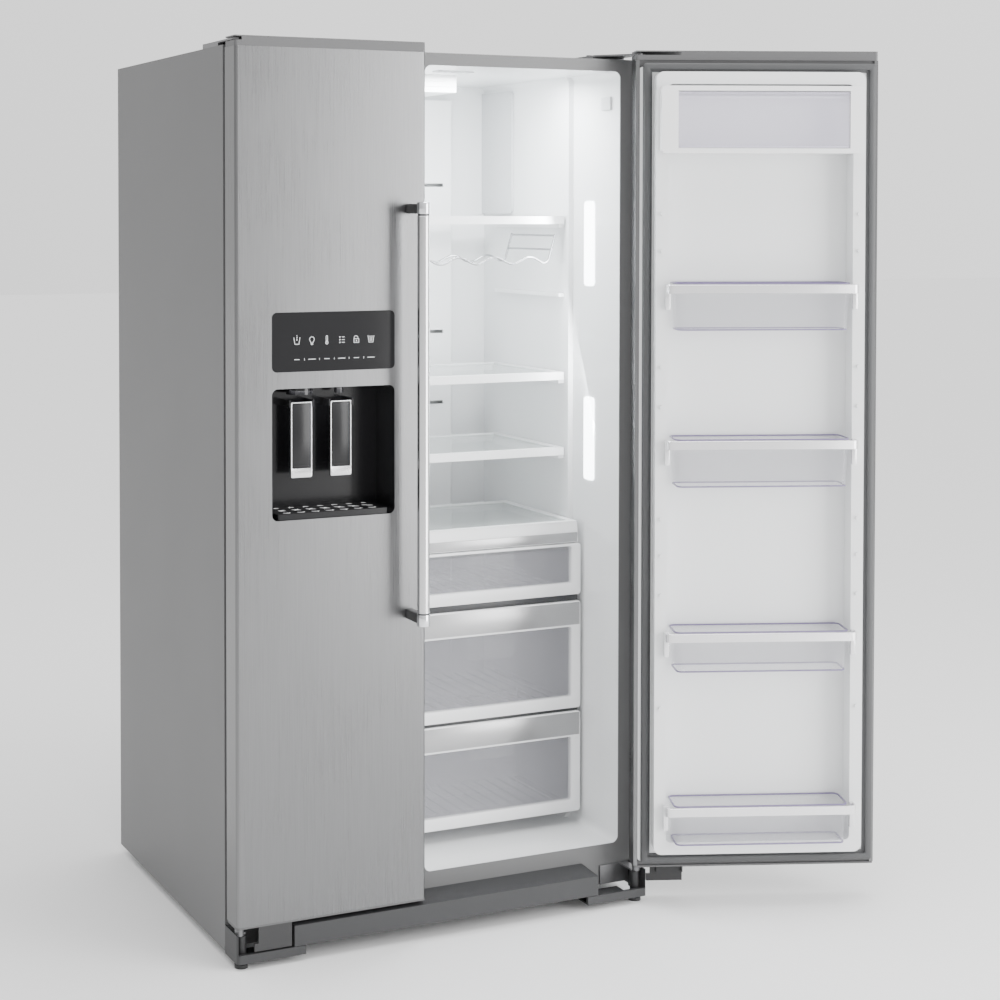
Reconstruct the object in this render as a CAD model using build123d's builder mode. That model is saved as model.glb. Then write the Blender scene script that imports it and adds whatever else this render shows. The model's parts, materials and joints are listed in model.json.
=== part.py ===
from build123d import *
from math import cos, pi, radians, sin
import os

# Side by side refrigerator: cabinet, two doors, shelves, drawers, dispenser and cooling unit.
# Millimetres.  X runs to the right seen from the front, Y runs back into the cabinet and Z is up.
# The origin is on the floor, under the middle of the cabinet's front face.  The freezer is on the
# left with its door shut, and the fresh food side is on the right with its door standing open.

# ---- Driving dimensions -------------------------------------------------------------------
# Cabinet
cabinet_width = 908
cabinet_depth = 700
cabinet_top = 1762
cabinet_low = 17  # lower edge of the side panels
panel_sheet = 1.2
frame_sheet = 2
frame_low = 26
opening_low = 109
opening_high = 1737
opening_radius = 14
mouth_wall = 28  # wall thickness beside the openings
mouth_depth = 196  # depth of the wide mouth in front of the shelves
wall_step = 12  # how far the walls step in behind the mouth
mullion_width = 55
liner_sheet = 1.5
liner_back = 600  # depth of the compartments
foam_low = 60
fit = 0.3  # clearance between pieces that stay put
slab_gap = 0.2

# Machine compartment, low at the back
machine_front = 470
machine_top = 303
hump_wall = 38
pan_sheet = 2.5
pan_low = 26

# Doors
freezer_door_width = 396
door_gap = 6
door_thickness = 56
gasket_depth = 12
gasket_squeeze = 0.4  # gap left between a shut door's gasket and the frame
door_low = 79
door_skin_top = 1756
door_top = 1775.5
door_sheet = 1
door_corner = 6
door_lip = 8
open_angle = 158.5

# Hinges
hinge_inset = 12  # axis in from the cabinet's side
hinge_reach = 47  # axis in front of the cabinet's face
pin_radius = 5
pin_clearance = 0.05
hinge_plate = 3.5
hinge_stand = 6  # packing under the top hinge plates

# Door inner panels
ridge_inset = 36
ridge_margin = 7  # clearance above and below the ridge inside the opening
ridge_width = 25
ridge_height = 35
ridge_recess = 15  # how deep the panel's floor lies in the door
boss_radius = 4
boss_height = 5

# Door gaskets
gasket_hinge_inset = 14
gasket_free_inset = 6
gasket_lap = 19  # how far the gasket reaches past the top and bottom of the opening
gasket_width = 19
bulb_width = 11

# Handles
handle_radius = 13
handle_offset = 62
handle_low = 641
handle_high = 1462
handle_cap = 26
handle_inset = 34  # bar's centre in from the door's free edge

# Dispenser in the freezer door
dispenser_left = 73  # in from the freezer door's hinge edge
dispenser_width = 256
recess_low = 854
recess_high = 1106
panel_low = 1138
panel_high = 1252
recess_depth = 90
housing_wall = 3

# Fresh food shelves, measured to the tops of the panes
shelf_tops = (1432, 1090, 924)
shelf_front = 205
shelf_band = 15
glass_sheet = 4

# Drawers, as floor and top of each front
drawer_front = 146
drawer_front_sheet = 14
drawer_wall = 2.5
deli_span = (612, 724)
upper_span = (364, 598)
lower_span = (137, 357)
cover_top = 770

# Door bins, as underside and rim of each
bin_spans = ((1201, 1299), (880, 980), (500, 585), (142, 226))
bin_width = 360
bin_reach = 70  # rim's front in from the door's inner face
bin_wall = 2.5
bin_rim_width = 398
bin_rim_height = 23

# Dairy compartment
dairy_low = 1563
dairy_high = 1700
dairy_width = 420
dairy_reach = 58

# Water inlet and power cord gland in the machine compartment's cover
inlet_radius = 13.2  # three-quarter inch hose thread, outside
inlet_neck = 12
inlet_bore = 8
inlet_length = 18
inlet_x = -400
inlet_z = 200
gland_radius = 12
gland_bore = 4.5
gland_length = 16
gland_x = -400
gland_z = 120

# Base grille
grille_front = 70
grille_low = 13
grille_lip_high = 30
grille_bay_low = 31
grille_deck_high = 76
grille_deck_front = 71
grille_wall = 3
grille_side_block = 141
skirt_start = 36  # in from the cabinet's side
skirt_end = 112
skirt_low = 33

# ---- Sizes worked out from them -------------------------------------------------------------
half_width = cabinet_width / 2
door_face = -(gasket_depth + door_thickness)
door_back = -gasket_depth
freezer_door = (-half_width, -half_width + freezer_door_width)
fridge_door = (freezer_door[1] + door_gap, half_width)
mullion_x = (freezer_door[1] + fridge_door[0]) / 2
freezer_mouth = (-half_width + mouth_wall, mullion_x - mullion_width / 2)
fridge_mouth = (mullion_x + mullion_width / 2, half_width - mouth_wall)
freezer_room = (freezer_mouth[0] + wall_step, freezer_mouth[1] - wall_step)
fridge_room = (fridge_mouth[0] + wall_step, fridge_mouth[1] - wall_step)
hump_front = machine_front - hump_wall
hump_top = machine_top + hump_wall - 6
hinge_x = half_width - hinge_inset
hinge_y = -hinge_reach
pan_top = foam_low - fit

os.makedirs("parts", exist_ok=True)


# ---- Shared shapes --------------------------------------------------------------------------
def middle(span):
    return (span[0] + span[1]) / 2


def inset(span, amount):
    return (span[0] + amount, span[1] - amount)


def block(x, y, z, mode=Mode.ADD):
    """A box between two x, two y and two z values, in the part being built."""
    with Locations((middle(x), middle(y), middle(z))):
        Box(x[1] - x[0], y[1] - y[0], z[1] - z[0], mode=mode)


def prism(x, y, z, radius, mode=Mode.ADD):
    """A box whose four edges along Y are rounded."""
    face = Plane(origin=(middle(x), y[0], middle(z)), x_dir=(1, 0, 0), z_dir=(0, 1, 0))
    with BuildSketch(face) as profile:
        RectangleRounded(x[1] - x[0], z[1] - z[0], radius)
    extrude(profile.sketch, amount=y[1] - y[0], mode=mode)


def column(x, y, z, radius, mode=Mode.ADD):
    """A box whose four upright edges are rounded."""
    with BuildSketch(Plane.XY.offset(z[0])) as profile:
        with Locations((middle(x), middle(y))):
            RectangleRounded(x[1] - x[0], y[1] - y[0], radius)
    extrude(profile.sketch, amount=z[1] - z[0], mode=mode)


def rod(point, direction, radius, length, mode=Mode.ADD):
    """A round bar that starts at a point and runs along a direction."""
    with BuildSketch(Plane(origin=point, z_dir=direction)) as profile:
        Circle(radius)
    extrude(profile.sketch, amount=length, mode=mode)


def write(piece, node):
    """Label a finished piece and write its STEP file."""
    piece.part.label = node
    export_step(piece.part, f"parts/{node}.step")


fridge_hinge = Axis((hinge_x, hinge_y, 0), (0, 0, 1))


def write_open(piece, node):
    """The same for a piece of the fresh food door, which is made shut and stands open."""
    swung = piece.part.rotate(fridge_hinge, open_angle)
    swung.label = node
    export_step(swung, f"parts/{node}.step")


# ---- Cabinet shell --------------------------------------------------------------------------
# Outer sheets: two sides and the top between them
wrapper_y = (frame_sheet + slab_gap, cabinet_depth)
wrapper_z = (cabinet_low, cabinet_top)
with BuildPart() as cabinet_wrapper:
    for side in (-1, 1):
        block(sorted((side * half_width, side * (half_width - panel_sheet))), wrapper_y, wrapper_z)
    top_x = inset((-half_width, half_width), panel_sheet + slab_gap)
    block(top_x, wrapper_y, (cabinet_top - panel_sheet, cabinet_top))
write(cabinet_wrapper, "cabinet_wrapper")

with BuildPart() as front_frame:
    block((-half_width, half_width), (0, frame_sheet), (frame_low, cabinet_top))
    for mouth in (freezer_mouth, fridge_mouth):
        prism(mouth, (0, frame_sheet), (opening_low, opening_high), opening_radius, Mode.SUBTRACT)
write(front_frame, "front_frame")


def compartment(mouth, room, spare, mode):
    """The space of one compartment, or the same space grown by a wall's thickness."""
    front = frame_sheet + slab_gap if mode == Mode.ADD else 0
    low = opening_low - spare
    high = opening_high + spare
    grown_mouth = (mouth[0] - spare, mouth[1] + spare)
    grown_room = (room[0] - spare, room[1] + spare)
    round_edge = opening_radius + spare
    prism(grown_mouth, (front, mouth_depth + spare), (low, high), round_edge, mode)
    prism(grown_room, (front, hump_front + spare), (low, high), round_edge, mode)
    prism(grown_room, (front, liner_back + spare), (hump_top - spare, high), round_edge, mode)


for mouth, room, node in (
    (freezer_mouth, freezer_room, "freezer_liner"),
    (fridge_mouth, fridge_room, "fridge_liner"),
):
    with BuildPart() as liner:
        compartment(mouth, room, liner_sheet, Mode.ADD)
        compartment(mouth, room, 0, Mode.SUBTRACT)
    write(liner, node)

# Foamed insulation, as slabs around the two liners and over the machine compartment
foam_skin = liner_sheet + fit
foam_side = half_width - panel_sheet - fit
foam_front = frame_sheet + fit
foam_back = cabinet_depth - panel_sheet - fit
foam_top = cabinet_top - panel_sheet - fit
liner_floor = opening_low - foam_skin
liner_roof = opening_high + foam_skin
mouth_zone = (foam_front, mouth_depth - slab_gap)
room_zone = (mouth_depth + foam_skin, hump_front + foam_skin - slab_gap)
rear_zone = (hump_front + foam_skin, liner_back + foam_skin - slab_gap)
wall_columns = (
    (-foam_side, freezer_mouth[0] - foam_skin, -foam_side, freezer_room[0] - foam_skin),
    (
        freezer_mouth[1] + foam_skin,
        fridge_mouth[0] - foam_skin,
        freezer_room[1] + foam_skin,
        fridge_room[0] - foam_skin,
    ),
    (fridge_mouth[1] + foam_skin, foam_side, fridge_room[1] + foam_skin, foam_side),
)
with BuildPart() as cabinet_foam:
    for mouth_low, mouth_high, room_low, room_high in wall_columns:
        block((mouth_low, mouth_high), mouth_zone, (liner_floor, liner_roof))
        block((room_low, room_high), room_zone, (liner_floor, liner_roof))
        block((room_low, room_high), rear_zone, (hump_top - foam_skin, liner_roof))
    block((-foam_side, foam_side), (foam_front, foam_back), (liner_roof + slab_gap, foam_top))
    block((-foam_side, foam_side), (foam_front, machine_front), (foam_low, liner_floor - slab_gap))
    block(
        (-foam_side, foam_side),
        (hump_front + foam_skin, machine_front),
        (liner_floor, machine_top),
    )
    block(
        (-foam_side, foam_side),
        (hump_front + foam_skin, foam_back),
        (machine_top + slab_gap, hump_top - foam_skin - slab_gap),
    )
    block(
        (-foam_side, foam_side),
        (liner_back + foam_skin, foam_back),
        (hump_top - foam_skin, liner_roof),
    )
write(cabinet_foam, "cabinet_foam")

# ---- Base: pan, feet, rollers, grille and hinges ----------------------------------------------
rail_width = 30
pan_side = half_width - panel_sheet - fit
roller_radius = 24
roller_width = 22
roller_x = half_width - 52
roller_y = cabinet_depth - 70
axle_radius = 4
axle_clearance = 0.08
fork_gap = 1.5
fork_sheet = 3
roller_pocket = 4
fork_half = roller_width / 2 + fork_gap
fork_top = 2 * roller_radius + roller_pocket
fork_low = roller_radius - 10
fork_y = (roller_y - roller_radius - 6, roller_y + roller_radius + 6)
with BuildPart() as base_pan:
    block((-pan_side, pan_side), (foam_front, machine_front), (pan_top - pan_sheet, pan_top))
    block((-pan_side, pan_side), (machine_front - pan_sheet, machine_front), (pan_low, pan_top))
    block((-pan_side, pan_side), (machine_front - pan_sheet, foam_back), (pan_low, pan_low + pan_sheet))
    for side in (-1, 1):
        rail = sorted((side * (pan_side - rail_width), side * pan_side))
        block(rail, (foam_front, machine_front), (pan_low, pan_top - pan_sheet))
        # each roller's fork hangs through a window in the pan
        window_half = fork_half + fork_sheet + fit
        window = (side * roller_x - window_half, side * roller_x + window_half)
        block(window, inset(fork_y, -fit), (pan_low, pan_low + pan_sheet), Mode.SUBTRACT)
    # forks for the rollers, each with its axle, hung through the windows
    for side in (-1, 1):
        centre = side * roller_x
        for flank in (-1, 1):
            cheek = sorted((centre + flank * fork_half, centre + flank * (fork_half + fork_sheet)))
            block(cheek, fork_y, (fork_low, fork_top))
        outer = (centre - fork_half - fork_sheet, centre + fork_half + fork_sheet)
        block(outer, fork_y, (fork_top, fork_top + fork_sheet))
        rod((outer[0], roller_y, roller_radius), (1, 0, 0), axle_radius, outer[1] - outer[0])
write(base_pan, "base_pan")

bracket_top = door_low - 13
bracket_sheet = 4
knuckle_radius = 13
foot_inset = 4  # inward from the hinge axis
foot_radius = 10
foot_pad_radius = 13
foot_pad = 7
foot_x = hinge_x - foot_inset
with BuildPart() as front_feet:
    for side in (-1, 1):
        rod((side * foot_x, hinge_y, 0), (0, 0, 1), foot_pad_radius, foot_pad)
        rod((side * foot_x, hinge_y, 0), (0, 0, 1), foot_radius, bracket_top - bracket_sheet - fit)
write(front_feet, "front_feet")

bracket_inner = half_width - 74
bracket_outer = half_width - grille_wall - 3
with BuildPart() as bottom_hinges:
    for side in (-1, 1):
        block(
            sorted((side * bracket_inner, side * bracket_outer)),
            (-bracket_sheet, 0),
            (frame_low, bracket_top),
        )
        block(
            sorted((side * (hinge_x - knuckle_radius), side * bracket_outer)),
            (hinge_y, 0),
            (bracket_top - bracket_sheet, bracket_top),
        )
        washer_radius = knuckle_radius - 4
        plate_low = bracket_top - bracket_sheet
        rod((side * hinge_x, hinge_y, plate_low), (0, 0, 1), washer_radius, bracket_sheet)
        rod((side * hinge_x, hinge_y, bracket_top), (0, 0, 1), washer_radius, door_low - bracket_top - 0.5)
        rod((side * hinge_x, hinge_y, bracket_top), (0, 0, 1), pin_radius, 40)
write(bottom_hinges, "bottom_hinges")

arm_low = cabinet_top + hinge_stand
arm_high = arm_low + hinge_plate
arm_round = 11
arm_rear = 120
arm_spread = 78  # width of the plate where it is bolted down
bolt_radius = 6
bolt_head = 4
with BuildPart() as top_hinges:
    for side in (-1, 1):
        with BuildSketch(Plane.XY.offset(arm_low)):
            with BuildLine():
                Polyline(
                    (side * (hinge_x + arm_round), hinge_y),
                    (side * (hinge_x + arm_round), arm_rear),
                    (side * (half_width - arm_spread), arm_rear),
                    (side * (half_width - arm_spread), 20),
                    (side * (hinge_x - arm_round), hinge_y),
                    close=True,
                )
            make_face()
            with Locations((side * hinge_x, hinge_y)):
                Circle(arm_round)
        extrude(amount=hinge_plate)
        block(
            sorted((side * (half_width - arm_spread), side * (hinge_x + arm_round))),
            (30, arm_rear),
            (cabinet_top, arm_low),
        )
        rod((side * hinge_x, hinge_y, arm_low), (0, 0, -1), pin_radius, 36)
        for bolt_x, bolt_y in ((22, 45), (22, 100), (60, 75)):
            rod((side * (half_width - bolt_x), bolt_y, arm_high), (0, 0, 1), bolt_radius, bolt_head)
write(top_hinges, "top_hinges")

with BuildPart() as rear_rollers:
    for side in (-1, 1):
        start = side * roller_x - roller_width / 2
        rod((start, roller_y, roller_radius), (1, 0, 0), roller_radius, roller_width)
        axle_hole = axle_radius + axle_clearance
        rod((start, roller_y, roller_radius), (1, 0, 0), axle_hole, roller_width, Mode.SUBTRACT)
write(rear_rollers, "rear_rollers")

# The grille is one moulding: a deck and front across the middle, and a low bay at each end
# that the door's skirt and the levelling leg stand in
bay_x = half_width - skirt_end - 5
lip_depth = 8
grille_back = -slab_gap
with BuildPart() as base_grille:
    with BuildSketch(Plane(origin=(-bay_x, 0, 0), x_dir=(0, 1, 0), z_dir=(1, 0, 0))):
        with BuildLine():
            Polyline(
                (grille_back, grille_deck_high),
                (-grille_front, grille_deck_front),
                (-grille_front, grille_bay_low),
                (-grille_front + grille_wall, grille_bay_low),
                (-grille_front + grille_wall, grille_deck_front - grille_wall),
                (grille_back, grille_deck_high - grille_wall),
                close=True,
            )
        make_face()
    extrude(amount=2 * bay_x)
    for side in (-1, 1):
        # closing wall between the deck and the bay
        wall_start = min(side * bay_x, side * (bay_x - grille_wall))
        with BuildSketch(Plane(origin=(wall_start, 0, 0), x_dir=(0, 1, 0), z_dir=(1, 0, 0))):
            with BuildLine():
                Polyline(
                    (grille_back, grille_deck_high),
                    (-grille_front, grille_deck_front),
                    (-grille_front, grille_low),
                    (grille_back, grille_low),
                    close=True,
                )
            make_face()
        extrude(amount=grille_wall)
        low_block = sorted((side * (half_width - grille_side_block), side * half_width))
        block(low_block, (-grille_front, -grille_front + lip_depth), (grille_low, grille_lip_high))
        # the bay's floor is cut short of the levelling leg
        block(
            sorted((side * (half_width - grille_side_block), side * (foot_x - foot_pad_radius - 2))),
            (-grille_front, grille_back),
            (grille_low, grille_low + grille_wall),
        )
        block(
            sorted((side * (half_width - grille_wall), side * half_width)),
            (-grille_front, grille_back),
            (grille_low, door_low - 11),
        )
    corners = base_grille.edges().filter_by(Axis.Z).group_by(Axis.Y)[0]
    fillet([edge for edge in corners if abs(edge.center().X) > half_width - 1], lip_depth - 1)
write(base_grille, "base_grille")

# ---- Machine compartment --------------------------------------------------------------------
machine_floor = pan_low + pan_sheet
vent_pitch = 24
vent_length = 90
vent_height = 6
vent_rows = 6
rear_cover_x = inset((-half_width, half_width), panel_sheet + slab_gap)
rear_cover_y = (cabinet_depth - panel_sheet, cabinet_depth)
upper_cover_z = (machine_top + slab_gap, cabinet_top - panel_sheet - slab_gap)
lower_cover_z = (machine_floor + 4, machine_top)
with BuildPart() as rear_covers:
    block(rear_cover_x, rear_cover_y, upper_cover_z)
    block(rear_cover_x, rear_cover_y, lower_cover_z)
    vents = Plane(origin=(0, cabinet_depth, middle(lower_cover_z)), x_dir=(1, 0, 0), z_dir=(0, -1, 0))
    with BuildSketch(vents):
        with GridLocations(1.3 * vent_length, vent_pitch, 4, vent_rows):
            SlotOverall(vent_length, vent_height)
    extrude(amount=panel_sheet, mode=Mode.SUBTRACT)
    for hole_x, hole_z, hole_radius in (
        (inlet_x, inlet_z, inlet_radius + fit),
        (gland_x, gland_z, gland_radius + slab_gap),
    ):
        rod((hole_x, cabinet_depth, hole_z), (0, -1, 0), hole_radius, panel_sheet, Mode.SUBTRACT)
write(rear_covers, "rear_covers")

compressor_radius = 82
compressor_x = -250
compressor_y = middle((machine_front, cabinet_depth))
compressor_high = 205
compressor_dome = 34
mount_height = 14
with BuildPart() as compressor:
    shell_foot = (compressor_x, compressor_y, machine_floor + mount_height)
    rod(shell_foot, (0, 0, 1), compressor_radius, compressor_high)
    fillet(compressor.edges().filter_by(GeomType.CIRCLE), compressor_dome)
    for foot_angle in range(45, 360, 90):
        reach = compressor_radius + 8
        foot = (
            compressor_x + reach * cos(radians(foot_angle)),
            compressor_y + reach * sin(radians(foot_angle)),
            machine_floor,
        )
        rod(foot, (0, 0, 1), 11, mount_height + 3)
    block(
        (compressor_x - 66, compressor_x + 66),
        (compressor_y - 66, compressor_y + 66),
        (machine_floor + mount_height, machine_floor + mount_height + 3),
    )
    rod(
        (compressor_x + compressor_radius - 10, compressor_y, machine_floor + 90),
        (1, 0, 0),
        18,
        30,
    )
write(compressor, "compressor")

# Condenser: rows of tube between two end plates, wound back and forth beside its fan
condenser_x = (40, 250)
condenser_rows = 4
condenser_columns = 5
tube_radius = 3
tube_pitch = 38
with BuildPart() as condenser:
    for side in condenser_x:
        block(
            (side - 1.5, side + 1.5),
            (machine_front + 20, machine_front + 20 + tube_pitch * condenser_columns),
            (machine_floor, machine_floor + 40 + tube_pitch * condenser_rows),
        )
    for row in range(condenser_rows):
        for column_number in range(condenser_columns):
            rod(
                (
                    condenser_x[0],
                    machine_front + 20 + tube_pitch * (column_number + 0.5),
                    machine_floor + 40 + tube_pitch * (row + 0.5) - tube_radius,
                ),
                (1, 0, 0),
                tube_radius,
                condenser_x[1] - condenser_x[0],
            )
write(condenser, "condenser")

fan_radius = 70
fan_blades = 5
fan_hub_radius = 17
blade_sheet = 2.5
blade_width = 34
blade_pitch = 25
fan_depth = 22
fan_gap = 4
shaft_radius = 3
shaft_clearance = 0.06
condenser_fan_x = -60
condenser_fan_z = machine_floor + fan_radius + 28
shroud_sheet = 3
motor_radius = 24
motor_length = 38


def fan(centre, direction, radius):
    """A hub bored for its shaft, with pitched blades, in the part being built."""
    hub = Plane(origin=centre, z_dir=direction)
    for blade in range(fan_blades):
        turn = 2 * pi * blade / fan_blades
        outward = hub.x_dir * cos(turn) + hub.y_dir * sin(turn)
        spoke = Plane(origin=hub.offset(fan_depth / 2).origin, x_dir=hub.z_dir, z_dir=outward)
        with BuildSketch(spoke) as profile:
            Rectangle(blade_width, blade_sheet, rotation=90 - blade_pitch)
        extrude(profile.sketch, amount=radius)
    with BuildSketch(hub) as profile:
        Circle(fan_hub_radius)
    extrude(profile.sketch, amount=fan_depth)
    with BuildSketch(hub) as profile:
        Circle(shaft_radius + shaft_clearance)
    extrude(profile.sketch, amount=fan_depth, both=True, mode=Mode.SUBTRACT)


with BuildPart() as condenser_fan:
    fan((condenser_fan_x, compressor_y, condenser_fan_z), (1, 0, 0), fan_radius)
write(condenser_fan, "condenser_fan")

shroud_x = condenser_fan_x + fan_depth + 8
shroud_half = fan_radius + 18
with BuildPart() as fan_shroud:
    block(
        (shroud_x, shroud_x + shroud_sheet),
        (compressor_y - shroud_half, compressor_y + shroud_half),
        (machine_floor, condenser_fan_z + shroud_half),
    )
    ring_centre = (shroud_x, compressor_y, condenser_fan_z)
    rod(ring_centre, (1, 0, 0), fan_radius + fan_gap, shroud_sheet, Mode.SUBTRACT)
    # motor on two struts behind the ring, with its shaft through the fan
    block(
        (shroud_x, shroud_x + shroud_sheet),
        (compressor_y - shroud_half, compressor_y + shroud_half),
        (condenser_fan_z - 7, condenser_fan_z + 7),
    )
    rod(ring_centre, (1, 0, 0), motor_radius, motor_length)
    rod(ring_centre, (-1, 0, 0), shaft_radius, fan_depth + 12)
write(fan_shroud, "fan_shroud")

tray_wall = 2.5
drain_x = (278, 420)
drain_top = machine_floor + 42
drain_y = (machine_front + 30, roller_y - roller_radius - 20)
with BuildPart() as drain_pan:
    column(drain_x, drain_y, (machine_floor, drain_top), 10)
    inside = (inset(drain_x, tray_wall), inset(drain_y, tray_wall))
    column(*inside, (machine_floor + tray_wall, drain_top), 8, Mode.SUBTRACT)
write(drain_pan, "drain_pan")

with BuildPart() as water_valve:
    valve_y = (cabinet_depth - 60, cabinet_depth - panel_sheet - 3)
    block((inlet_x - 24, inlet_x + 24), valve_y, (inlet_z - 22, inlet_z + 22))
    rod((inlet_x - 2, cabinet_depth - 40, inlet_z + 20), (0, 0, 1), 15, 34)
    rod((inlet_x, cabinet_depth - 30, inlet_z), (0, 1, 0), inlet_neck, 31)
    rod((inlet_x, cabinet_depth + 1, inlet_z), (0, 1, 0), inlet_radius, inlet_length - 1)
    rod((inlet_x, cabinet_depth - 30, inlet_z), (0, 1, 0), inlet_bore, 30 + inlet_length, Mode.SUBTRACT)
write(water_valve, "water_valve")

with BuildPart() as cord_gland:
    gland_end = (gland_x, cabinet_depth - gland_length + 5, gland_z)
    rod(gland_end, (0, 1, 0), gland_radius, gland_length)
    rod(gland_end, (0, 1, 0), gland_bore, gland_length, Mode.SUBTRACT)
write(cord_gland, "cord_gland")

# ---- Cooling unit and freezer fittings ---------------------------------------------------------
evaporator_z = (hump_top + 60, hump_top + 330)
evaporator_y = (liner_back - 52, liner_back - 8)
cover_y = (liner_back - 62, liner_back - 60)
fin_pitch = 30
with BuildPart() as evaporator:
    for level in range(int((evaporator_z[1] - evaporator_z[0]) / fin_pitch) + 1):
        height = evaporator_z[0] + fin_pitch * level
        run = freezer_room[1] - freezer_room[0] - 50
        rod((freezer_room[0] + 25, middle(evaporator_y), height), (1, 0, 0), 4, run)
    for fin in range(9):
        fin_x = freezer_room[0] + 30 + (freezer_room[1] - freezer_room[0] - 62) * fin / 8
        block((fin_x, fin_x + 2), evaporator_y, (evaporator_z[0] - 12, evaporator_z[0] + 9 * fin_pitch + 12))
write(evaporator, "evaporator")

evaporator_fan_radius = 50
evaporator_fan_z = evaporator_z[1] + 120
freezer_middle = middle(freezer_room)
cover_hole = evaporator_fan_radius + fan_gap
cover_slot_z = evaporator_z[0] - 28
cover_z = (hump_top + opening_radius + 1, evaporator_fan_z + 130)
with BuildPart() as evaporator_cover:
    block(inset(freezer_room, 1), cover_y, cover_z)
    for edge_x in (freezer_room[0] + 1, freezer_room[1] - 4):
        block((edge_x, edge_x + 3), (cover_y[0], liner_back - 1), cover_z)
    block(inset(freezer_room, 1), (cover_y[0], liner_back - 1), (cover_z[1] - 3, cover_z[1]))
    rod((freezer_middle, cover_y[0], evaporator_fan_z), (0, 1, 0), cover_hole, 2, Mode.SUBTRACT)
    strut_x = (freezer_middle - cover_hole - 2, freezer_middle + cover_hole + 2)
    block(strut_x, cover_y, (evaporator_fan_z - 6, evaporator_fan_z + 6))
    for slot in range(5):
        slot_x = freezer_middle + 50 * (slot - 2)
        block((slot_x - 19, slot_x + 19), cover_y, (cover_slot_z - 5, cover_slot_z + 5), Mode.SUBTRACT)
    # motor behind the cover, with its shaft forward through the fan
    rod((freezer_middle, cover_y[1], evaporator_fan_z), (0, 1, 0), 16, 12)
    rod((freezer_middle, cover_y[0], evaporator_fan_z), (0, -1, 0), shaft_radius, fan_depth + 8)
write(evaporator_cover, "evaporator_cover")

with BuildPart() as evaporator_fan:
    fan((freezer_middle, cover_y[0] - 4, evaporator_fan_z), (0, -1, 0), evaporator_fan_radius)
write(evaporator_fan, "evaporator_fan")

# Ice maker over its bin at the top of the freezer
ice_bin_z = (1440, 1610)
ice_bin_y = (130, 470)
ice_wall = 3
ice_maker_z = (1640, 1720)
ice_maker_y = (200, 480)
mould_cubes = 6
mould_pitch = 42
mould_depth = 26
mould_width = 32
bracket_rise = 30
with BuildPart() as ice_maker:
    block(inset(freezer_room, 8), ice_bin_y, ice_bin_z)
    bin_hollow_z = (ice_bin_z[0] + ice_wall, ice_bin_z[1])
    block(inset(freezer_room, 8 + ice_wall), inset(ice_bin_y, ice_wall), bin_hollow_z, Mode.SUBTRACT)
    block(inset(freezer_room, 40), ice_maker_y, ice_maker_z)
    for cube in range(mould_cubes):
        cube_y = ice_maker_y[0] + 22 + mould_pitch * cube
        cube_z = (ice_maker_z[1] - mould_depth, ice_maker_z[1])
        block(inset(freezer_room, 70), (cube_y, cube_y + mould_width), cube_z, Mode.SUBTRACT)
    block(inset(freezer_room, 110), (ice_maker_y[1] - 40, liner_back - 1), inset(ice_maker_z, bracket_rise))
write(ice_maker, "ice_maker")

freezer_shelf_tops = (1400, 1180, 960)
wire_radius = 2.5
wire_count = 12
rim_radius = 4
freezer_shelf_front = 160
freezer_shelf_back = cover_y[0] - 30
# Wire shelves, and two baskets under them
basket_spans = ((hump_top + 40, hump_top + 240), (opening_low + 10, hump_top - 10))
basket_backs = (freezer_shelf_back, hump_front - 10)
basket_wall = 3
with BuildPart() as freezer_racks:
    shelf_deep = freezer_shelf_back - freezer_shelf_front
    for top in freezer_shelf_tops:
        for wire in range(wire_count + 1):
            wire_x = freezer_room[0] + 8 + (freezer_room[1] - freezer_room[0] - 16) * wire / wire_count
            rod((wire_x, freezer_shelf_front, top), (0, 1, 0), wire_radius, shelf_deep)
        for wire_y in (freezer_shelf_front, freezer_shelf_back):
            rim = (freezer_room[0] + 1, wire_y, top)
            rod(rim, (1, 0, 0), rim_radius, freezer_room[1] - freezer_room[0] - 2)
    for span, back in zip(basket_spans, basket_backs):
        basket_y = (freezer_shelf_front, back)
        block(inset(freezer_room, 10), basket_y, span)
        hollow_z = (span[0] + basket_wall, span[1])
        block(inset(freezer_room, 10 + basket_wall), inset(basket_y, basket_wall), hollow_z, Mode.SUBTRACT)
write(freezer_racks, "freezer_racks")

# ---- Fresh food compartment --------------------------------------------------------------------
fridge_middle = middle(fridge_room)
duct_half = 119
duct_sheet = 3
duct_depth = 26
duct_low = hump_top + 40
duct_top = opening_high - 34
with BuildPart() as rear_duct:
    duct_x = (fridge_middle - duct_half, fridge_middle + duct_half)
    duct_y = (liner_back - duct_depth, liner_back - fit)
    column(duct_x, duct_y, (duct_low, duct_top), 8)
    duct_inside = (duct_y[0] + duct_sheet, duct_y[1])
    block(inset(duct_x, duct_sheet), duct_inside, inset((duct_low, duct_top), duct_sheet), Mode.SUBTRACT)
    for outlet in shelf_tops:
        for flank in (-1, 1):
            outlet_x = fridge_middle + flank * duct_half / 2
            block((outlet_x - 34, outlet_x + 34), duct_y, (outlet + 70, outlet + 78), Mode.SUBTRACT)
write(rear_duct, "rear_duct")

# Light housing on the left of the ceiling, grooved along its front
light_x = (fridge_room[0] + opening_radius + 1, 164)
light_y = (245, 450)
light_low = 1700
groove_depth = 2
with BuildPart() as light_housing:
    light_z = (light_low, opening_high - fit)
    block(light_x, light_y, light_z)
    for share in (0.3, 0.6):
        groove_z = light_z[0] + share * (light_z[1] - light_z[0])
        groove = (groove_z - groove_depth / 2, groove_z + groove_depth / 2)
        block(light_x, (light_y[0], light_y[0] + groove_depth), groove, Mode.SUBTRACT)
write(light_housing, "light_housing")

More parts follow.
